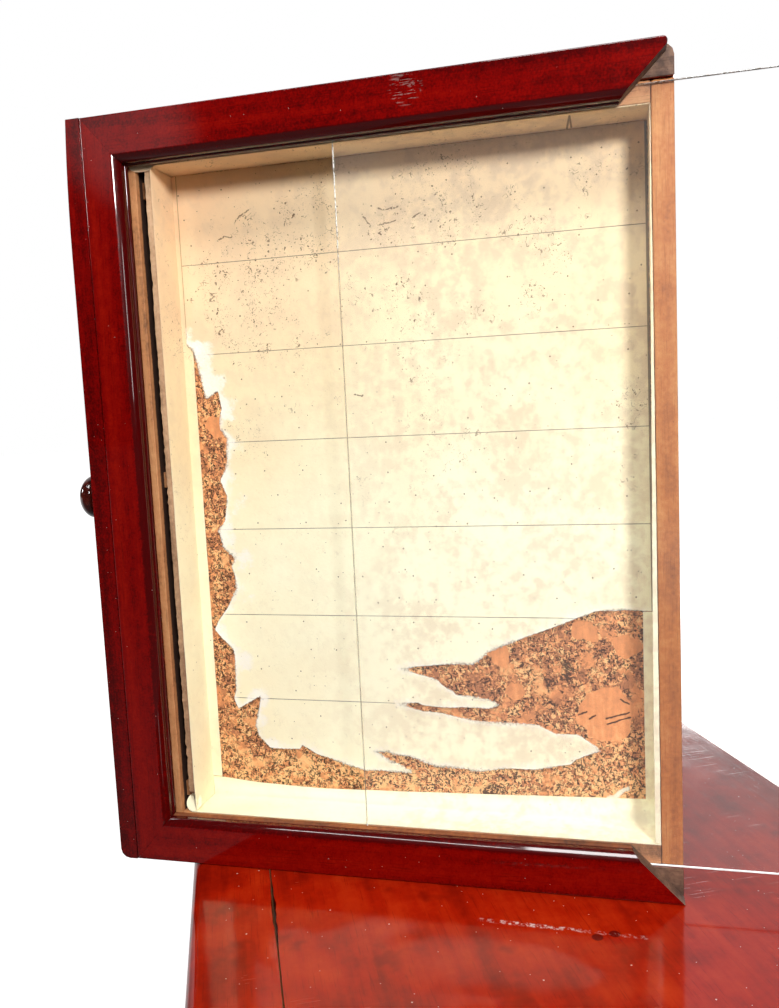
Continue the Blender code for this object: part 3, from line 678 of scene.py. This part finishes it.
# Cork sheet: granules of cork pressed into a board, glued on the bottom for the pins.
# Lumps of several millimetres lie in fine crumb with dark bark in it, and some chunks are larger.
CORK_LOW = Vector((-0.20405, 0.049, 0.0063))
CORK_HIGH = Vector((0.20405, 0.3392, 0.0118))
CORK_CELL = 0.0024
CORK_ROUGH = 0.00035
CORK_LUMPS = 330.0
CORK_RELIEF = 0.0006
CORK_DARK = (0.045, 0.017, 0.009)
CORK_TONES = ((0.46, 0.18, 0.08), (0.8, 0.325, 0.125), (0.97, 0.57, 0.25))
SCRAP_WHITE = (0.85, 0.8, 0.66)
CHUNKS = [(0.3095, 0.1381, 0.018), (0.0685, -0.045, 0.007), (0.2991, 0.0865, 0.008),
          (0.2472, 0.1031, 0.0075), (0.3216, 0.0959, 0.0085), (0.2552, 0.1243, 0.007)]
SLITS = [((0.3099, 0.1405), (0.3235, 0.1362)), ((0.3104, 0.1438), (0.324, 0.1391)),
         ((0.2937, 0.1387), (0.2985, 0.1368)), ((0.3, 0.1409), (0.3037, 0.1389)),
         ((0.3185, 0.1283), (0.3236, 0.1309))]
SLIT_WIDTH = 0.00045
STAINS = [(0.288, 0.1077, 0.0042), (0.2863, 0.1149, 0.0036), (0.2781, 0.1191, 0.0036),
          (0.2397, 0.1924, 0.0075)]
SCRAP = ((0.3106, 0.1902), (0.3207, 0.1851))
SCRAP_WIDTH = 0.002
CHUNK_GRAIN = (50.0, 330.0)
DASHES = (360.0, 1000.0)


def shaken(coords, scale, reach):
    """Coordinates pushed about by soft noise, a reach given in metres."""
    drift = coords.node("TexNoise", None, {"Vector": coords, "Scale": scale, "Detail": 2.0}, output="Color")
    drift = coords.node("VectorMath", {"operation": "SUBTRACT"}, {0: drift, 1: (0.5, 0.5, 0.5)})
    return coords.node("VectorMath", {"operation": "MULTIPLY_ADD"}, {0: drift, 1: (reach,) * 3, 2: coords})


def patches(x, y, places):
    """1 in any of several soft round patches and 0 outside them."""
    found = x * 0.0
    for along, across, radius in places:
        found = found | disc(x, y, (along, across), radius)
    return found


def marks(x, y, chains, width):
    """1 on any of several lines and 0 off them; each line is a chain of places."""
    found = x * 0.0
    for chain in chains:
        for first, second in zip(chain, chain[1:]):
            found = found | stroke(x, y, first, second, width)
    return found


def laid_grid(low, high, cell, height):
    """A level grid of square cells between two corners."""
    width, length = high[0] - low[0], high[1] - low[1]
    bm = bmesh.new()
    bmesh.ops.create_grid(bm, x_segments=round(width / cell), y_segments=round(length / cell), size=0.5)
    bmesh.ops.scale(bm, vec=(width, length, 1), verts=bm.verts)
    bmesh.ops.translate(bm, vec=((low[0] + high[0]) / 2, (low[1] + high[1]) / 2, height), verts=bm.verts)
    return bm


def close_holes(bm):
    """Fills every open edge with a face."""
    bmesh.ops.holes_fill(bm, edges=[edge for edge in bm.edges if edge.is_boundary])


def pressed_cork(name):
    """Smooth lumps in a few browns, zones of fine crumb between them, and dark flecks of bark."""
    material, start = blank(name)
    flat = on_bench(start, STAND_BENCH)
    coords = shaken(flat, 260.0, 0.004)
    bent = parts_of(shaken(flat, 100.0, 0.012))[:2]
    chunk = patches(*bent, CHUNKS).ramp(0.15, 0.4)
    lumps = {"Vector": shaken(flat, 150.0, 0.007), "Scale": 130.0}
    seam = flat.node("TexVoronoi", {"feature": "DISTANCE_TO_EDGE"}, lumps)
    crumb = drawn_lots({"Vector": coords, "Scale": 520.0})
    crumbly = cloud(flat, 75.0, 3.0).ramp(0.32, 0.5) * (1 - chunk)
    tone = (drawn_lots(lumps) - 0.5) * (1 - chunk) * 0.26
    tone = tone + cloud(coords, 260.0, 5.0, 0.65) * (0.45 - chunk * 0.1) + 0.26
    tone = tone + (cloud(stretched(flat, 0, CHUNK_GRAIN)) - 0.5) * chunk * 0.35
    tone = tone + (crumb - 0.5) * crumbly * 0.6
    tone = tone - cloud(flat, 48.0, 2.0).ramp(0.55, 0.72) * (1 - chunk) * 0.2
    tone = tone + parts_of(flat)[0].ramp(0.12, 0.19) * 0.16
    colour = tone.tones((0.24, 0.48, 0.74), CORK_TONES)
    bark = seam.ramp(0.06, 0.015) * cloud(flat, 300.0, 3.0).ramp(0.53, 0.61) * (1 - chunk)
    for grain in (0, 1):
        bark = bark | cloud(stretched(coords, grain, DASHES), detail=2.0).ramp(0.562, 0.607) * crumbly
    bark = bark | patches(*bent, STAINS) * cloud(coords, 650.0, 2.0).ramp(0.44, 0.53)
    bark = bark | marks(*parts_of(shaken(flat, 300.0, 0.0016))[:2], SLITS, SLIT_WIDTH)
    colour = (bark * 0.92).blend(colour, CORK_DARK)
    colour = stroke(*bent, *SCRAP, SCRAP_WIDTH).blend(colour, SCRAP_WHITE)
    relief = seam.ramp(0.0, 0.1) * (1 - chunk) * 0.2 + cloud(flat, 800.0) * 0.25
    relief = relief + crumb * crumbly * 0.4 - bark * 0.6
    return lay_on(material, colour, 0.88, relief, CORK_RELIEF)


cork = laid_grid(CORK_LOW, CORK_HIGH, CORK_CELL, CORK_HIGH.z)
rim = [edge for edge in cork.edges if edge.is_boundary]
for vert in cork.verts:
    if not vert.is_boundary:
        vert.co.z -= CORK_ROUGH * abs(noise.noise(vert.co * CORK_LUMPS)) * 2
for item in bmesh.ops.extrude_edge_only(cork, edges=rim)["geom"]:
    if isinstance(item, bmesh.types.BMVert):
        item.co.z = CORK_LOW.z
close_holes(cork)
loose("cork", stood(cork), pressed_cork("pressed_cork"), "cork_sheet")

# Floor paper of the loose drawer: a cream sheet ruled in pencil and pasted over the cork.
# It is foxed and smudged, and torn away at the front and on the right, where its white core shows.
PAPER_TONES = ((0.89, 0.605, 0.362), (0.91, 0.765, 0.485), (0.975, 0.945, 0.69))
PAPER_CORE = (0.93, 0.9, 0.82)
PENCIL = (0.15, 0.12, 0.085)
SOOT_AND_SHADE = (0.11, 0.056, 0.025)
HAZE = (0.64, 0.48, 0.33)
BROWNED_AND_SHADED = (0.48, 0.3, 0.14)
RULE_FIRST = -0.1478
RULE_PITCH = 0.0566
RULE_WIDTH = 0.00024
RULE_WAVER = 0.0006
WHOLE_RULES = 5
RULE_ENDS = (0.053, 0.3373)
LAST_RULE_END = 0.1793
SMUDGES = [(0.229, -0.164, 0.022), (0.272, -0.112, 0.011), (0.197, -0.112, 0.022), (0.092, -0.15, 0.03),
           (0.134, -0.162, 0.028), (0.098, -0.112, 0.036), (0.207, -0.166, 0.018), (0.19, -0.16, 0.016)]
SHEET_FRONT = 0.0524
TEAR_FRONT = 0.0565
LAP_RISE = 0.0006
LAP_REACH = 0.01
SHEET_RIGHT = 0.19085
SHEET_BACK = 0.3384
SHEET_LEFT = -0.20325
SHEET_UNDER = 0.0121
SHEET_CELL = 0.0016
PAPER_THICKNESS = 0.0004
PAPER_RELIEF = 0.0005
TORN_SHEET = (281, 394)
TORN_EDGE = [
    (283, 117), (275, 117), (264, 118), (248, 117), (238, 113), (224, 107), (203, 99), (191, 94.5),
    (184, 91.4), (179.5, 88), (176.2, 84.8), (173, 82.7), (162.7, 82.8), (153.7, 81.9), (144.5, 80.7),
    (136.7, 80), (127, 78), (134, 76.6), (139.7, 74.6), (146.8, 72.9), (151.3, 71), (153.1, 68.4),
    (159.4, 64.7), (162.6, 62.2), (169.6, 61.4), (181, 60.5), (189, 57), (182.8, 54.7), (162.9, 54.6),
    (151.2, 54), (140.8, 54.9), (136.9, 56.8), (133, 56.4), (124, 55.3), (132.8, 53.3), (140.6, 51.1),
    (152.4, 50.2), (162.7, 48.3), (171.6, 46.1), (182.5, 45.5), (190, 45), (212, 45), (222, 40), (236, 40),
    (249, 31), (234, 24), (231, 21), (211, 17), (189, 16), (181.5, 14.4), (173.6, 13.7), (164, 15.1),
    (152.9, 15.9), (147.7, 15.6), (137.9, 18.4), (134, 20.3), (129.4, 21.4), (120, 22), (116.1, 23.6),
    (107, 23.4), (113.2, 19.6), (117.8, 16.4), (123.1, 15.6), (128.3, 12.5), (132.5, 10.4), (126.9, 10.7),
    (120.9, 10.4), (112.8, 10.9), (101.2, 10.3), (94.4, 12), (69, 19), (58, 25), (57, 22), (36, 22),
    (28, 30), (27, 38), (32, 58), (15, 48), (12, 55), (14, 61), (15, 81), (14, 89), (8, 95), (2, 102),
    (5, 108), (12, 117), (20, 130), (17, 144), (20, 150), (12, 157), (10, 168), (14, 174), (17, 190),
    (13, 201), (18, 210), (20, 228), (15, 235), (17, 248), (15, 259), (7, 254), (3, 275), (0.5, 286),
    (-4.1, 289.5), (-8, 292.5),
]
CLEAN_TEAR = (0.113, 0.207)
BARED_WIDTH = 0.012
BROWNED_AND_SHADED_SHARES = (0.4, 0.15)
SHADED_GAP = (0.3371, 0.105)
SHADED_EDGE_LINE = 0.0006
BRISTLES = [
    ((0.1824, -0.1713), (0.1864, -0.1696), (0.1953, -0.1706)), ((0.174, -0.1667), (0.1777, -0.1617)),
    ((0.183, -0.1612), (0.1884, -0.162), (0.1938, -0.1633)), ((0.1624, -0.0611), (0.1678, -0.0601)),
    ((0.0901, -0.1705), (0.0936, -0.1748), (0.1003, -0.1782)), ((0.2043, -0.1636), (0.2087, -0.166)),
    ((0.0784, -0.1614), (0.0825, -0.1634), (0.0876, -0.1625)), ((0.0709, -0.1297), (0.0733, -0.1271)),
]
BRISTLE_WIDTH = 0.0004
NICK = ((0.2952, 0.0135), (0.2975, 0.036), (0.2977, 0.0145))
NICK_WIDTH = 0.00055
TORN_MARGIN = 0.0018
FIBRE_REACH = 0.0024
CURL = 0.0013
CURL_REACH = 0.007
CURL_WAVES = 70.0


def aged_paper(name, ruled=False):
    """Cream paper, browner to the left with age and as painted shade, foxed and smudged; the floor paper is
    ruled and torn.
    """
    material, start = blank(name)
    coords = on_bench(start, STAND_BENCH)
    x, y, z = parts_of(coords)
    age_and_shade = x.ramp(-0.22, 0.1) * 0.5 + y.ramp(0.05, 0.2) * 0.15 + cloud(coords, 11.0, 4.0) * 0.4 - 0.06
    colour = age_and_shade.tones((0.12, 0.45, 0.74), PAPER_TONES)
    mottle = cloud(coords, 38.0, 5.0, 0.65) * 0.6 + cloud(coords, 160.0, 3.0) * 0.4
    dull = 0.1 + y.ramp(0.12, 0.22) * 0.32 + x.ramp(0.02, -0.12) * 0.14
    colour = (mottle.ramp(0.44, 0.6) * dull).blend(colour, HAZE)
    haze = cloud(coords, 26.0, 4.0).ramp(0.46, 0.72) * x.ramp(0.06, -0.1) * 0.24
    colour = haze.blend(colour, HAZE)
    dirty = cloud(coords, 30.0, 4.0).ramp(0.46, 0.7) * x.ramp(0.12, -0.14) * 0.6
    dirty = dirty | patches(x, y, SMUDGES) * cloud(coords, 75.0, 3.0).ramp(0.38, 0.62)
    stipple = (cloud(coords, 1100.0, 2.0, 0.6) + dirty * 0.07).ramp(0.66, 0.74) * 0.65
    worms = (abs(cloud(coords, 240.0, 1.0) - 0.5) < 0.014) * cloud(coords, 190.0, 0.0).ramp(0.62, 0.67)
    blots = (cloud(coords, 460.0, 2.0) + dirty * 0.07).ramp(0.7, 0.74)
    soot = (stipple | worms * 0.8 | blots) * (0.12 + dirty.ramp(0.05, 0.45) * 0.88)
    if ruled:
        pins = specks(coords, 62.0, 0.00048, 0.42, FLAT_CELLS)
        pins = pins | specks(coords, 160.0, 0.0003, 0.12, FLAT_CELLS)
    else:
        pins = specks(coords, 260.0, 0.00035, 0.1)
    colour = (soot * 0.9 | pins * 0.8).blend(colour, SOOT_AND_SHADE)
    relief = cloud(coords, 600.0, 2.0) * 0.2 + cloud(coords, 22.0, 1.0) * 1.0 - pins * 0.6
    if not ruled:
        colour = (marks(z, y, [NICK], NICK_WIDTH) * (x < 0.0) * 0.8).blend(colour, SOOT_AND_SHADE)
        return lay_on(material, colour, 0.85, relief, PAPER_RELIEF)
    # Along the left and back walls the paper is browned, partly as aged edges and partly as painted shadow of
    # the walls.
    browned_and_shaded = x.ramp(-0.19, -0.204) * BROWNED_AND_SHADED_SHARES[0] | y.ramp(0.327, 0.34) * BROWNED_AND_SHADED_SHARES[1]
    colour = browned_and_shaded.blend(colour, BROWNED_AND_SHADED)
    bristles = marks(*parts_of(shaken(coords, 500.0, 0.0022))[:2], BRISTLES, BRISTLE_WIDTH)
    bristles = bristles * cloud(coords, 700.0, 2.0).ramp(0.36, 0.46)
    # The dark lines along the sheet's back and front edges are painted shade in the gaps at the walls.
    edges = (y > SHADED_GAP[0]) * (x < SHADED_GAP[1]) | (y < SHEET_FRONT + SHADED_EDGE_LINE) * 0.6
    colour = ((edges | bristles) * 0.8).blend(colour, SOOT_AND_SHADE)
    lines = (x - RULE_FIRST) / RULE_PITCH
    off_line = abs(lines - lines.math("ROUND")) * RULE_PITCH
    waver = (cloud(coords, 30.0) - 0.5) * RULE_WAVER
    drawn = (off_line + waver * 0.2) < RULE_WIDTH
    held = (y > RULE_ENDS[0]) * (y < RULE_ENDS[1]) * (x > RULE_FIRST - RULE_PITCH / 2)
    held = held * ((x < RULE_FIRST + RULE_PITCH * (WHOLE_RULES - 0.5)) | (y < LAST_RULE_END))
    colour = (drawn * held * (0.55 + cloud(coords, 200.0) * 0.5)).blend(colour, PENCIL)
    torn = start.node("Attribute", {"attribute_name": "torn"}, output="Fac")
    clean_cut = (x < CLEAN_TEAR[0]) * (y > CLEAN_TEAR[1])
    bared = cloud(coords, 55.0, 3.0).ramp(0.38, 0.72) * (0.12 + y.ramp(0.125, 0.085) * 0.88)
    frayed = (cloud(coords, 420.0, 5.0, 0.75) - 0.5) * 0.013
    ragged = torn - bared * (1 - clean_cut * 0.9) * BARED_WIDTH + frayed
    core = ragged.ramp(0.0042, -0.0032) * (0.35 + cloud(coords, 900.0, 3.0, 0.7) * 0.75) & 0.88
    colour = core.blend(colour, PAPER_CORE)
    feather = cloud(coords, 32.0, 2.0).ramp(0.42, 0.6)
    fibres = torn + (cloud(coords, 620.0, 5.0, 0.75) - 0.5) * (0.8 + feather * 1.6) * FIBRE_REACH
    whole = fibres.ramp(feather * -0.0013 - 0.0003, feather * 0.0008 + 0.0004)
    relief = relief + ragged.ramp(-0.001, 0.001) * 0.15
    return lay_on(material, colour, 0.85, relief, PAPER_RELIEF, {"Alpha": whole})


def nearest_on(line, point):
    """The nearest place to a point on a line of segments."""
    first, second = line[:-1], line[1:]
    run = second - first
    share = ((point - first) * run).sum(1) / (run * run).sum(1)
    places = first + np.clip(share, 0, 1)[:, None] * run
    return places[((places - point) ** 2).sum(1).argmin()]


def inside(outline, point):
    """Whether a point lies within a closed outline."""
    first, second = outline, np.roll(outline, -1, axis=0)
    spans = (first[:, 1] > point[1]) != (second[:, 1] > point[1])
    rise = np.where(spans, second[:, 1] - first[:, 1], 1.0)
    crossing = first[:, 0] + (point[1] - first[:, 1]) / rise * (second[:, 0] - first[:, 0])
    return (spans & (crossing > point[0])).sum() % 2 == 1


mm_across = (SHEET_RIGHT - SHEET_LEFT) / TORN_SHEET[1]
mm_along = (SHEET_BACK - TEAR_FRONT) / TORN_SHEET[0]
tear = np.array([(SHEET_RIGHT - across * mm_across, TEAR_FRONT + along * mm_along)
                 for along, across in TORN_EDGE])
beyond = SHEET_LEFT - SHEET_CELL
whole_side = [(beyond, SHEET_FRONT - SHEET_CELL), (beyond, SHEET_BACK + SHEET_CELL)]
sheet_outline = np.concatenate([whole_side, tear])
sheet = laid_grid((SHEET_LEFT, SHEET_FRONT), (SHEET_RIGHT, SHEET_BACK), SHEET_CELL, SHEET_UNDER)
depth_in = sheet.verts.layers.float.new("torn")
for vert in sheet.verts:
    here = np.array(vert.co[:2])
    there = nearest_on(tear, here)
    reach = float(np.linalg.norm(there - here))
    vert[depth_in] = reach if inside(sheet_outline, here) else -reach
outside = [face for face in sheet.faces if max(vert[depth_in] for vert in face.verts) < 0]
bmesh.ops.delete(sheet, geom=outside, context="FACES")
for vert in sheet.verts:
    if vert[depth_in] < -TORN_MARGIN:
        here = np.array(vert.co[:2])
        there = nearest_on(tear, here)
        vert.co.x, vert.co.y = there + (here - there) / -vert[depth_in] * TORN_MARGIN
        vert[depth_in] = -TORN_MARGIN
    near = max(0.0, 1 - max(0.0, vert[depth_in]) / CURL_REACH)
    vert.co.z += CURL * near * near * max(0.0, noise.noise(vert.co * CURL_WAVES) + 0.25)
    vert.co.z += LAP_RISE * min(1.0, max(0.0, 2 - 2 * (vert.co.y - SHEET_FRONT) / LAP_REACH))
bmesh.ops.solidify(sheet, geom=sheet.faces[:], thickness=-PAPER_THICKNESS)
loose("ruled_sheet", stood(sheet), aged_paper("ruled_paper", True), "floor_paper")

# Wall papers of the loose drawer: strips of cream paper pasted on the four walls, with their lower margins
# turned in over the cork; the right margin is bowed and the back one widens. The side papers end in round
# tongues, which are bent over the ends of the cell.
TONGUE_ROUND = 0.0075
TONGUE_STEPS = 6
TONGUE_POINTS = 24
PAPER_ARRIS = 0.0001
END_EDGE = 0.002
WALL_CUTS = 70
WALL_WAVER = 0.00015
WALL_WAVES = 45.0
HEM = 0.0026
HEM_DROP = 0.0004
HEM_RUN = (-0.2, 0.12)
BOW_PLACES = (0.0524, 0.083, 0.127, 0.193, 0.281, 0.335)
BOW_DEPTHS = (0.0, 0.0027, 0.0042, 0.0027, 0.0, -0.0016)
RIGHT_TONGUE = ((0.1988, 0.0462, 0.0357), (0.0058, 0.0052), radians(-34), 0.0004)
LEFT_TONGUE = ((-0.2041, 0.0438, 0.0395), (0.0036, 0.0083), 0.0, 0.0001)


def pasted(node, long_way, rounded=False, bowed=False, hemmed=False):
    """A strip of wall paper, not quite flat; its front corners may be round, its margin bowed or widening."""
    bm = unstood(sawn(node) if rounded else eased(node, PAPER_ARRIS, 1))
    if rounded:
        front = min(vert.co.y for vert in bm.verts) + MERGED
        ends = [edge for edge in bm.edges
                if all(vert.co.y < front for vert in edge.verts) and edge.calc_length() < END_EDGE]
        round_off(bm, ends, TONGUE_ROUND, TONGUE_STEPS)
    cut_across(bm, long_way, HALF_WIDTH / 2, WALL_CUTS)
    for vert in bm.verts:
        vert.co += noise.noise_vector(vert.co * WALL_WAVES) * WALL_WAVER
        if bowed and vert.co.x < SHEET_RIGHT + PAPER_THICKNESS:
            vert.co.x += float(np.interp(vert.co.y, BOW_PLACES, BOW_DEPTHS))
    top = max(vert.co.z for vert in bm.verts)
    back = max(vert.co.y for vert in bm.verts)
    for vert in bm.verts:
        if hemmed and vert.co.z > top - HEM_DROP * 2:
            vert.co.z -= HEM_DROP
            if vert.co.y < back - PAPER_THICKNESS / 2 - WALL_WAVER:
                vert.co.y -= HEM * min(1.0, max(0.0, (vert.co.x - HEM_RUN[0]) / (HEM_RUN[1] - HEM_RUN[0])))
    return stood(bm)


def tongued(bm, middle, halves, tilt, thickness):
    """Adds the tongue of a wall paper that is bent out over the end of the cell."""
    place = STAND @ Matrix.Translation(middle) @ Matrix.Rotation(tilt, 4, "Y")
    bent = bmesh.ops.create_circle(bm, cap_ends=True, radius=1.0, segments=TONGUE_POINTS,
                                   matrix=place @ Matrix.Diagonal((*halves, 1.0, 1.0)))
    bmesh.ops.solidify(bm, geom=bent["verts"][0].link_faces[:], thickness=thickness)
    return bm


wall_paper = aged_paper("wall_paper")
papers = {
    "left": tongued(pasted("left_wall_paper", 1, rounded=True), *LEFT_TONGUE),
    "right": tongued(pasted("right_wall_paper", 1, rounded=True, bowed=True), *RIGHT_TONGUE),
    "front": pasted("front_wall_paper", 0),
    "back": pasted("back_wall_paper", 0, hemmed=True),
}
for wall, paper in papers.items():
    loose(wall + "_paper", paper, wall_paper, wall + "_wall_paper")

# Moulded rails of the loose drawer: mahogany strips with a bulging chamfer inside over a small bead.
# Three are glued round the drawer and mitred at the front; the fourth is fixed on the pane's back end.
# Their sawn back ends are bare, and so is the bead of the right rail.
RAIL_WIDTH = 0.0288
FRONT_RAIL_WIDTH = 0.0245
RAIL_THICKNESS = 0.01
RAIL_UNDER = 0.042
RAIL_CHAMFER = 0.0042
CHAMFER_BULGE = radians(12)
CHAMFER_EASE = 0.0004
RAIL_ARRIS = 0.0009
QUIRK_STEP = 0.0012
QUIRK_HEIGHT = 0.0025
QUIRK_STEPS = 5
CHAMFER_STEPS = 8
ARRIS_STEPS = 3
TIP_ROUND = 0.0028
TIP_STEPS = 7
MITRE_GAP = 0.00004
FRONT_INNER = 0.0118
PANE_PULL = 0.1402
BEAD_TONES = ((0.03, 0.01, 0.004), (0.21, 0.055, 0.011), (0.43, 0.145, 0.028))
BEAD_MARGIN = 1.05
END_FACING = 0.68
RUBBED_LINES = (90.0, 900.0)
RUB_MIDDLE = (0.2112, -0.2242)
RUB_RADIUS = 0.0105


def rail_section(width):
    """Section of a rail from its outer edge: flat on top, a bulging chamfer inside, and a bead below it."""
    nose = width - QUIRK_STEP
    first = pi / 4 - CHAMFER_BULGE
    turns = [first + 2 * CHAMFER_BULGE * step / CHAMFER_STEPS for step in range(CHAMFER_STEPS + 1)]
    size = RAIL_CHAMFER / (cos(first) - sin(first))
    rounded = [(nose, RAIL_THICKNESS - RAIL_CHAMFER - CHAMFER_EASE)]
    rounded += [(nose - size * (cos(first) - cos(turn)), RAIL_THICKNESS - size * (cos(first) - sin(turn)))
                for turn in turns]
    rounded += [(nose - RAIL_CHAMFER - CHAMFER_EASE, RAIL_THICKNESS)]
    turns = [pi / 2 * step / ARRIS_STEPS for step in range(ARRIS_STEPS + 1)]
    arris = [(RAIL_ARRIS * (1 - sin(turn)), RAIL_THICKNESS - RAIL_ARRIS * (1 - cos(turn))) for turn in turns]
    turns = [pi / 2 * step / QUIRK_STEPS for step in range(QUIRK_STEPS + 1)]
    bead = [(nose + QUIRK_STEP * cos(turn), QUIRK_HEIGHT * sin(turn)) for turn in turns]
    return [(0, 0)] + bead + rounded + arris


def cut_off(bm, point, outward):
    """Saws off what lies beyond a plane, and closes the cut."""
    bmesh.ops.bisect_plane(bm, geom=bm.verts[:] + bm.edges[:] + bm.faces[:], plane_co=point, plane_no=outward,
                           clear_outer=True)
    close_holes(bm)


def moulded_rail(width, length, runs, quarter_turns, place, tip=0.0):
    """A rail, mitred at both ends by the given runs and set in place; its first tip may be rounded."""
    bm = bmesh.new()
    end = bm.faces.new([bm.verts.new((-length / 2, y, z)) for y, z in rail_section(width)])
    grown = bmesh.ops.extrude_face_region(bm, geom=[end])["geom"]
    far_end = [item for item in grown if isinstance(item, bmesh.types.BMVert)]
    bmesh.ops.translate(bm, vec=(length, 0, 0), verts=far_end)
    for direction, run in zip((-1, 1), runs):
        outward = Vector((direction * width, run, 0)).normalized()
        corner = Vector((direction * length / 2, 0, 0)) - outward * MITRE_GAP
        cut_off(bm, corner, outward)
    side = Vector((0, -1, 0))
    end = Vector((-width, runs[0], 0)).normalized()
    middle = Vector((-length / 2 + tip * (1 - end.y * side.y) / -end.x, tip, 0))
    for step in range(1, TIP_STEPS if tip else 1):
        outward = side.slerp(end, step / TIP_STEPS)
        cut_off(bm, middle + outward * tip, outward)
    turn = Matrix.Translation(place) @ Matrix.Rotation(quarter_turns * pi / 2, 4, "Z")
    bmesh.ops.transform(bm, matrix=turn, verts=bm.verts)
    return stood(bm)


def rail_painted_sheen(across):
    """Painted sheen and shade: lighter along the middle of a rail, darker at both edges and the chamfer;
    across runs from 0 outside to 1 inside.
    """
    return across.ramp(0.02, 0.2) * across.ramp(0.8, 0.7) * 0.06 - 0.02 - across.ramp(0.78, 0.84) * 0.16


def rubbed(coords, x, y, z):
    """Pale scratches where the left rail has been rubbed."""
    scratches = cloud(stretched(coords, 1, RUBBED_LINES), detail=2.0).ramp(0.52, 0.6)
    return scratches * disc(x, y, RUB_MIDDLE, RUB_RADIUS) * cloud(coords, 260.0).ramp(0.42, 0.58) * 0.38


def on_bead(polygon):
    """Whether a face of the right rail lies on its bead."""
    across, along, height = STAND.inverted() @ polygon.center
    inner = across < HALF_WIDTH - RAIL_WIDTH + QUIRK_STEP * BEAD_MARGIN
    return inner and height < RAIL_UNDER + QUIRK_HEIGHT * BEAD_MARGIN


# The left rail is also made a little darker overall, as painted shade, because the lamp lights it more than
# the others.
left_polish = polish("left_rail_polish", 1, RED_TONES, STAND_BENCH,
                     lambda x, y, z: rail_painted_sheen((x + HALF_WIDTH) / RAIL_WIDTH) - 0.06, rubbed)
right_polish = polish("right_rail_polish", 1, RED_TONES, STAND_BENCH,
                      lambda x, y, z: rail_painted_sheen((HALF_WIDTH - x) / RAIL_WIDTH))
front_rail_polish = polish("front_rail_polish", 0, RED_TONES, STAND_BENCH,
                           lambda x, y, z: rail_painted_sheen((y - FRONT_INNER) / FRONT_RAIL_WIDTH))
side_length = DRAWER_DEPTH - FRONT_INNER
side_middle = (DRAWER_DEPTH + FRONT_INNER) / 2
both_mitres = (RAIL_WIDTH, RAIL_WIDTH)
rail = moulded_rail(FRONT_RAIL_WIDTH, DRAWER_WIDTH, both_mitres, 0, (0, FRONT_INNER, RAIL_UNDER))
loose("front_rail", rail, front_rail_polish, "front_rail")
rail = moulded_rail(RAIL_WIDTH, side_length, (RAIL_WIDTH, FRONT_RAIL_WIDTH), -1,
                    (-HALF_WIDTH, side_middle, RAIL_UNDER), TIP_ROUND)
left_rail = loose("left_rail", rail, left_polish, "left_rail")
rail = moulded_rail(RAIL_WIDTH, side_length, (FRONT_RAIL_WIDTH, RAIL_WIDTH), 1,
                    (HALF_WIDTH, side_middle, RAIL_UNDER))
right_rail = loose("right_rail", rail, right_polish, "right_rail")
for piece in (left_rail, right_rail):
    reface(piece, side_wood, lambda polygon: polygon.normal.dot(STAND_BACKWARDS) > END_FACING)
reface(right_rail, bare_wood("bead_wood", 1, STAND_BENCH, BEAD_TONES), on_bead)
rail = moulded_rail(RAIL_WIDTH, DRAWER_WIDTH, both_mitres, 2, (0, DRAWER_DEPTH + PANE_PULL, RAIL_UNDER))
settle("loose_pane_rail", rail, front_rail_polish, "loose_pane", "pane_rail")

# Pane of the loose drawer: a sheet of thin clear glass, drawn part of the way out of its grooves.
# Its edges are cut and rubbed down: dull and half clear at the front, pale where they are chipped and where
# glints are painted on them.
PALE_EDGE_AND_GLINT = (0.86, 0.88, 0.86)
DULL_EDGE = (0.26, 0.21, 0.15)
EDGE_ALPHAS = (0.55, 0.95)
EDGE_EASE = 0.0003
EDGE_GRAIN = 0.0001
FLAT_FACING = 0.9
ground_edge, start = blank("ground_glass_edge")
coords = on_bench(start, STAND_BENCH)
x, y = parts_of(coords)[:2]
edge_grain = cloud(coords, 900.0)
# The pale dashes towards the upper end, the lower end, and the lower edge past the back of the drawer are
# partly chips and partly painted glints.
chips_and_glints = x.ramp(-0.12, -0.16) * cloud(coords, 420.0, 2.0).ramp(0.4, 0.52) | x.ramp(0.2, 0.205)
pale_chips_and_glints = chips_and_glints | y.ramp(0.33, 0.345) * x.ramp(-0.05, 0.05)
opaque = (pale_chips_and_glints | y.ramp(0.33, 0.345)) * (EDGE_ALPHAS[1] - EDGE_ALPHAS[0]) + EDGE_ALPHAS[0]
lay_on(ground_edge, pale_chips_and_glints.blend(DULL_EDGE, PALE_EDGE_AND_GLINT), 0.25 + edge_grain * 0.2, edge_grain, EDGE_GRAIN,
       {"Alpha": opaque})
glass = settle("loose_glass", eased("pane", EDGE_EASE, 1), pane_glass, "loose_pane", "pane")
reface(glass, ground_edge, lambda polygon: abs(polygon.normal.dot(STAND_FACING)) < FLAT_FACING)
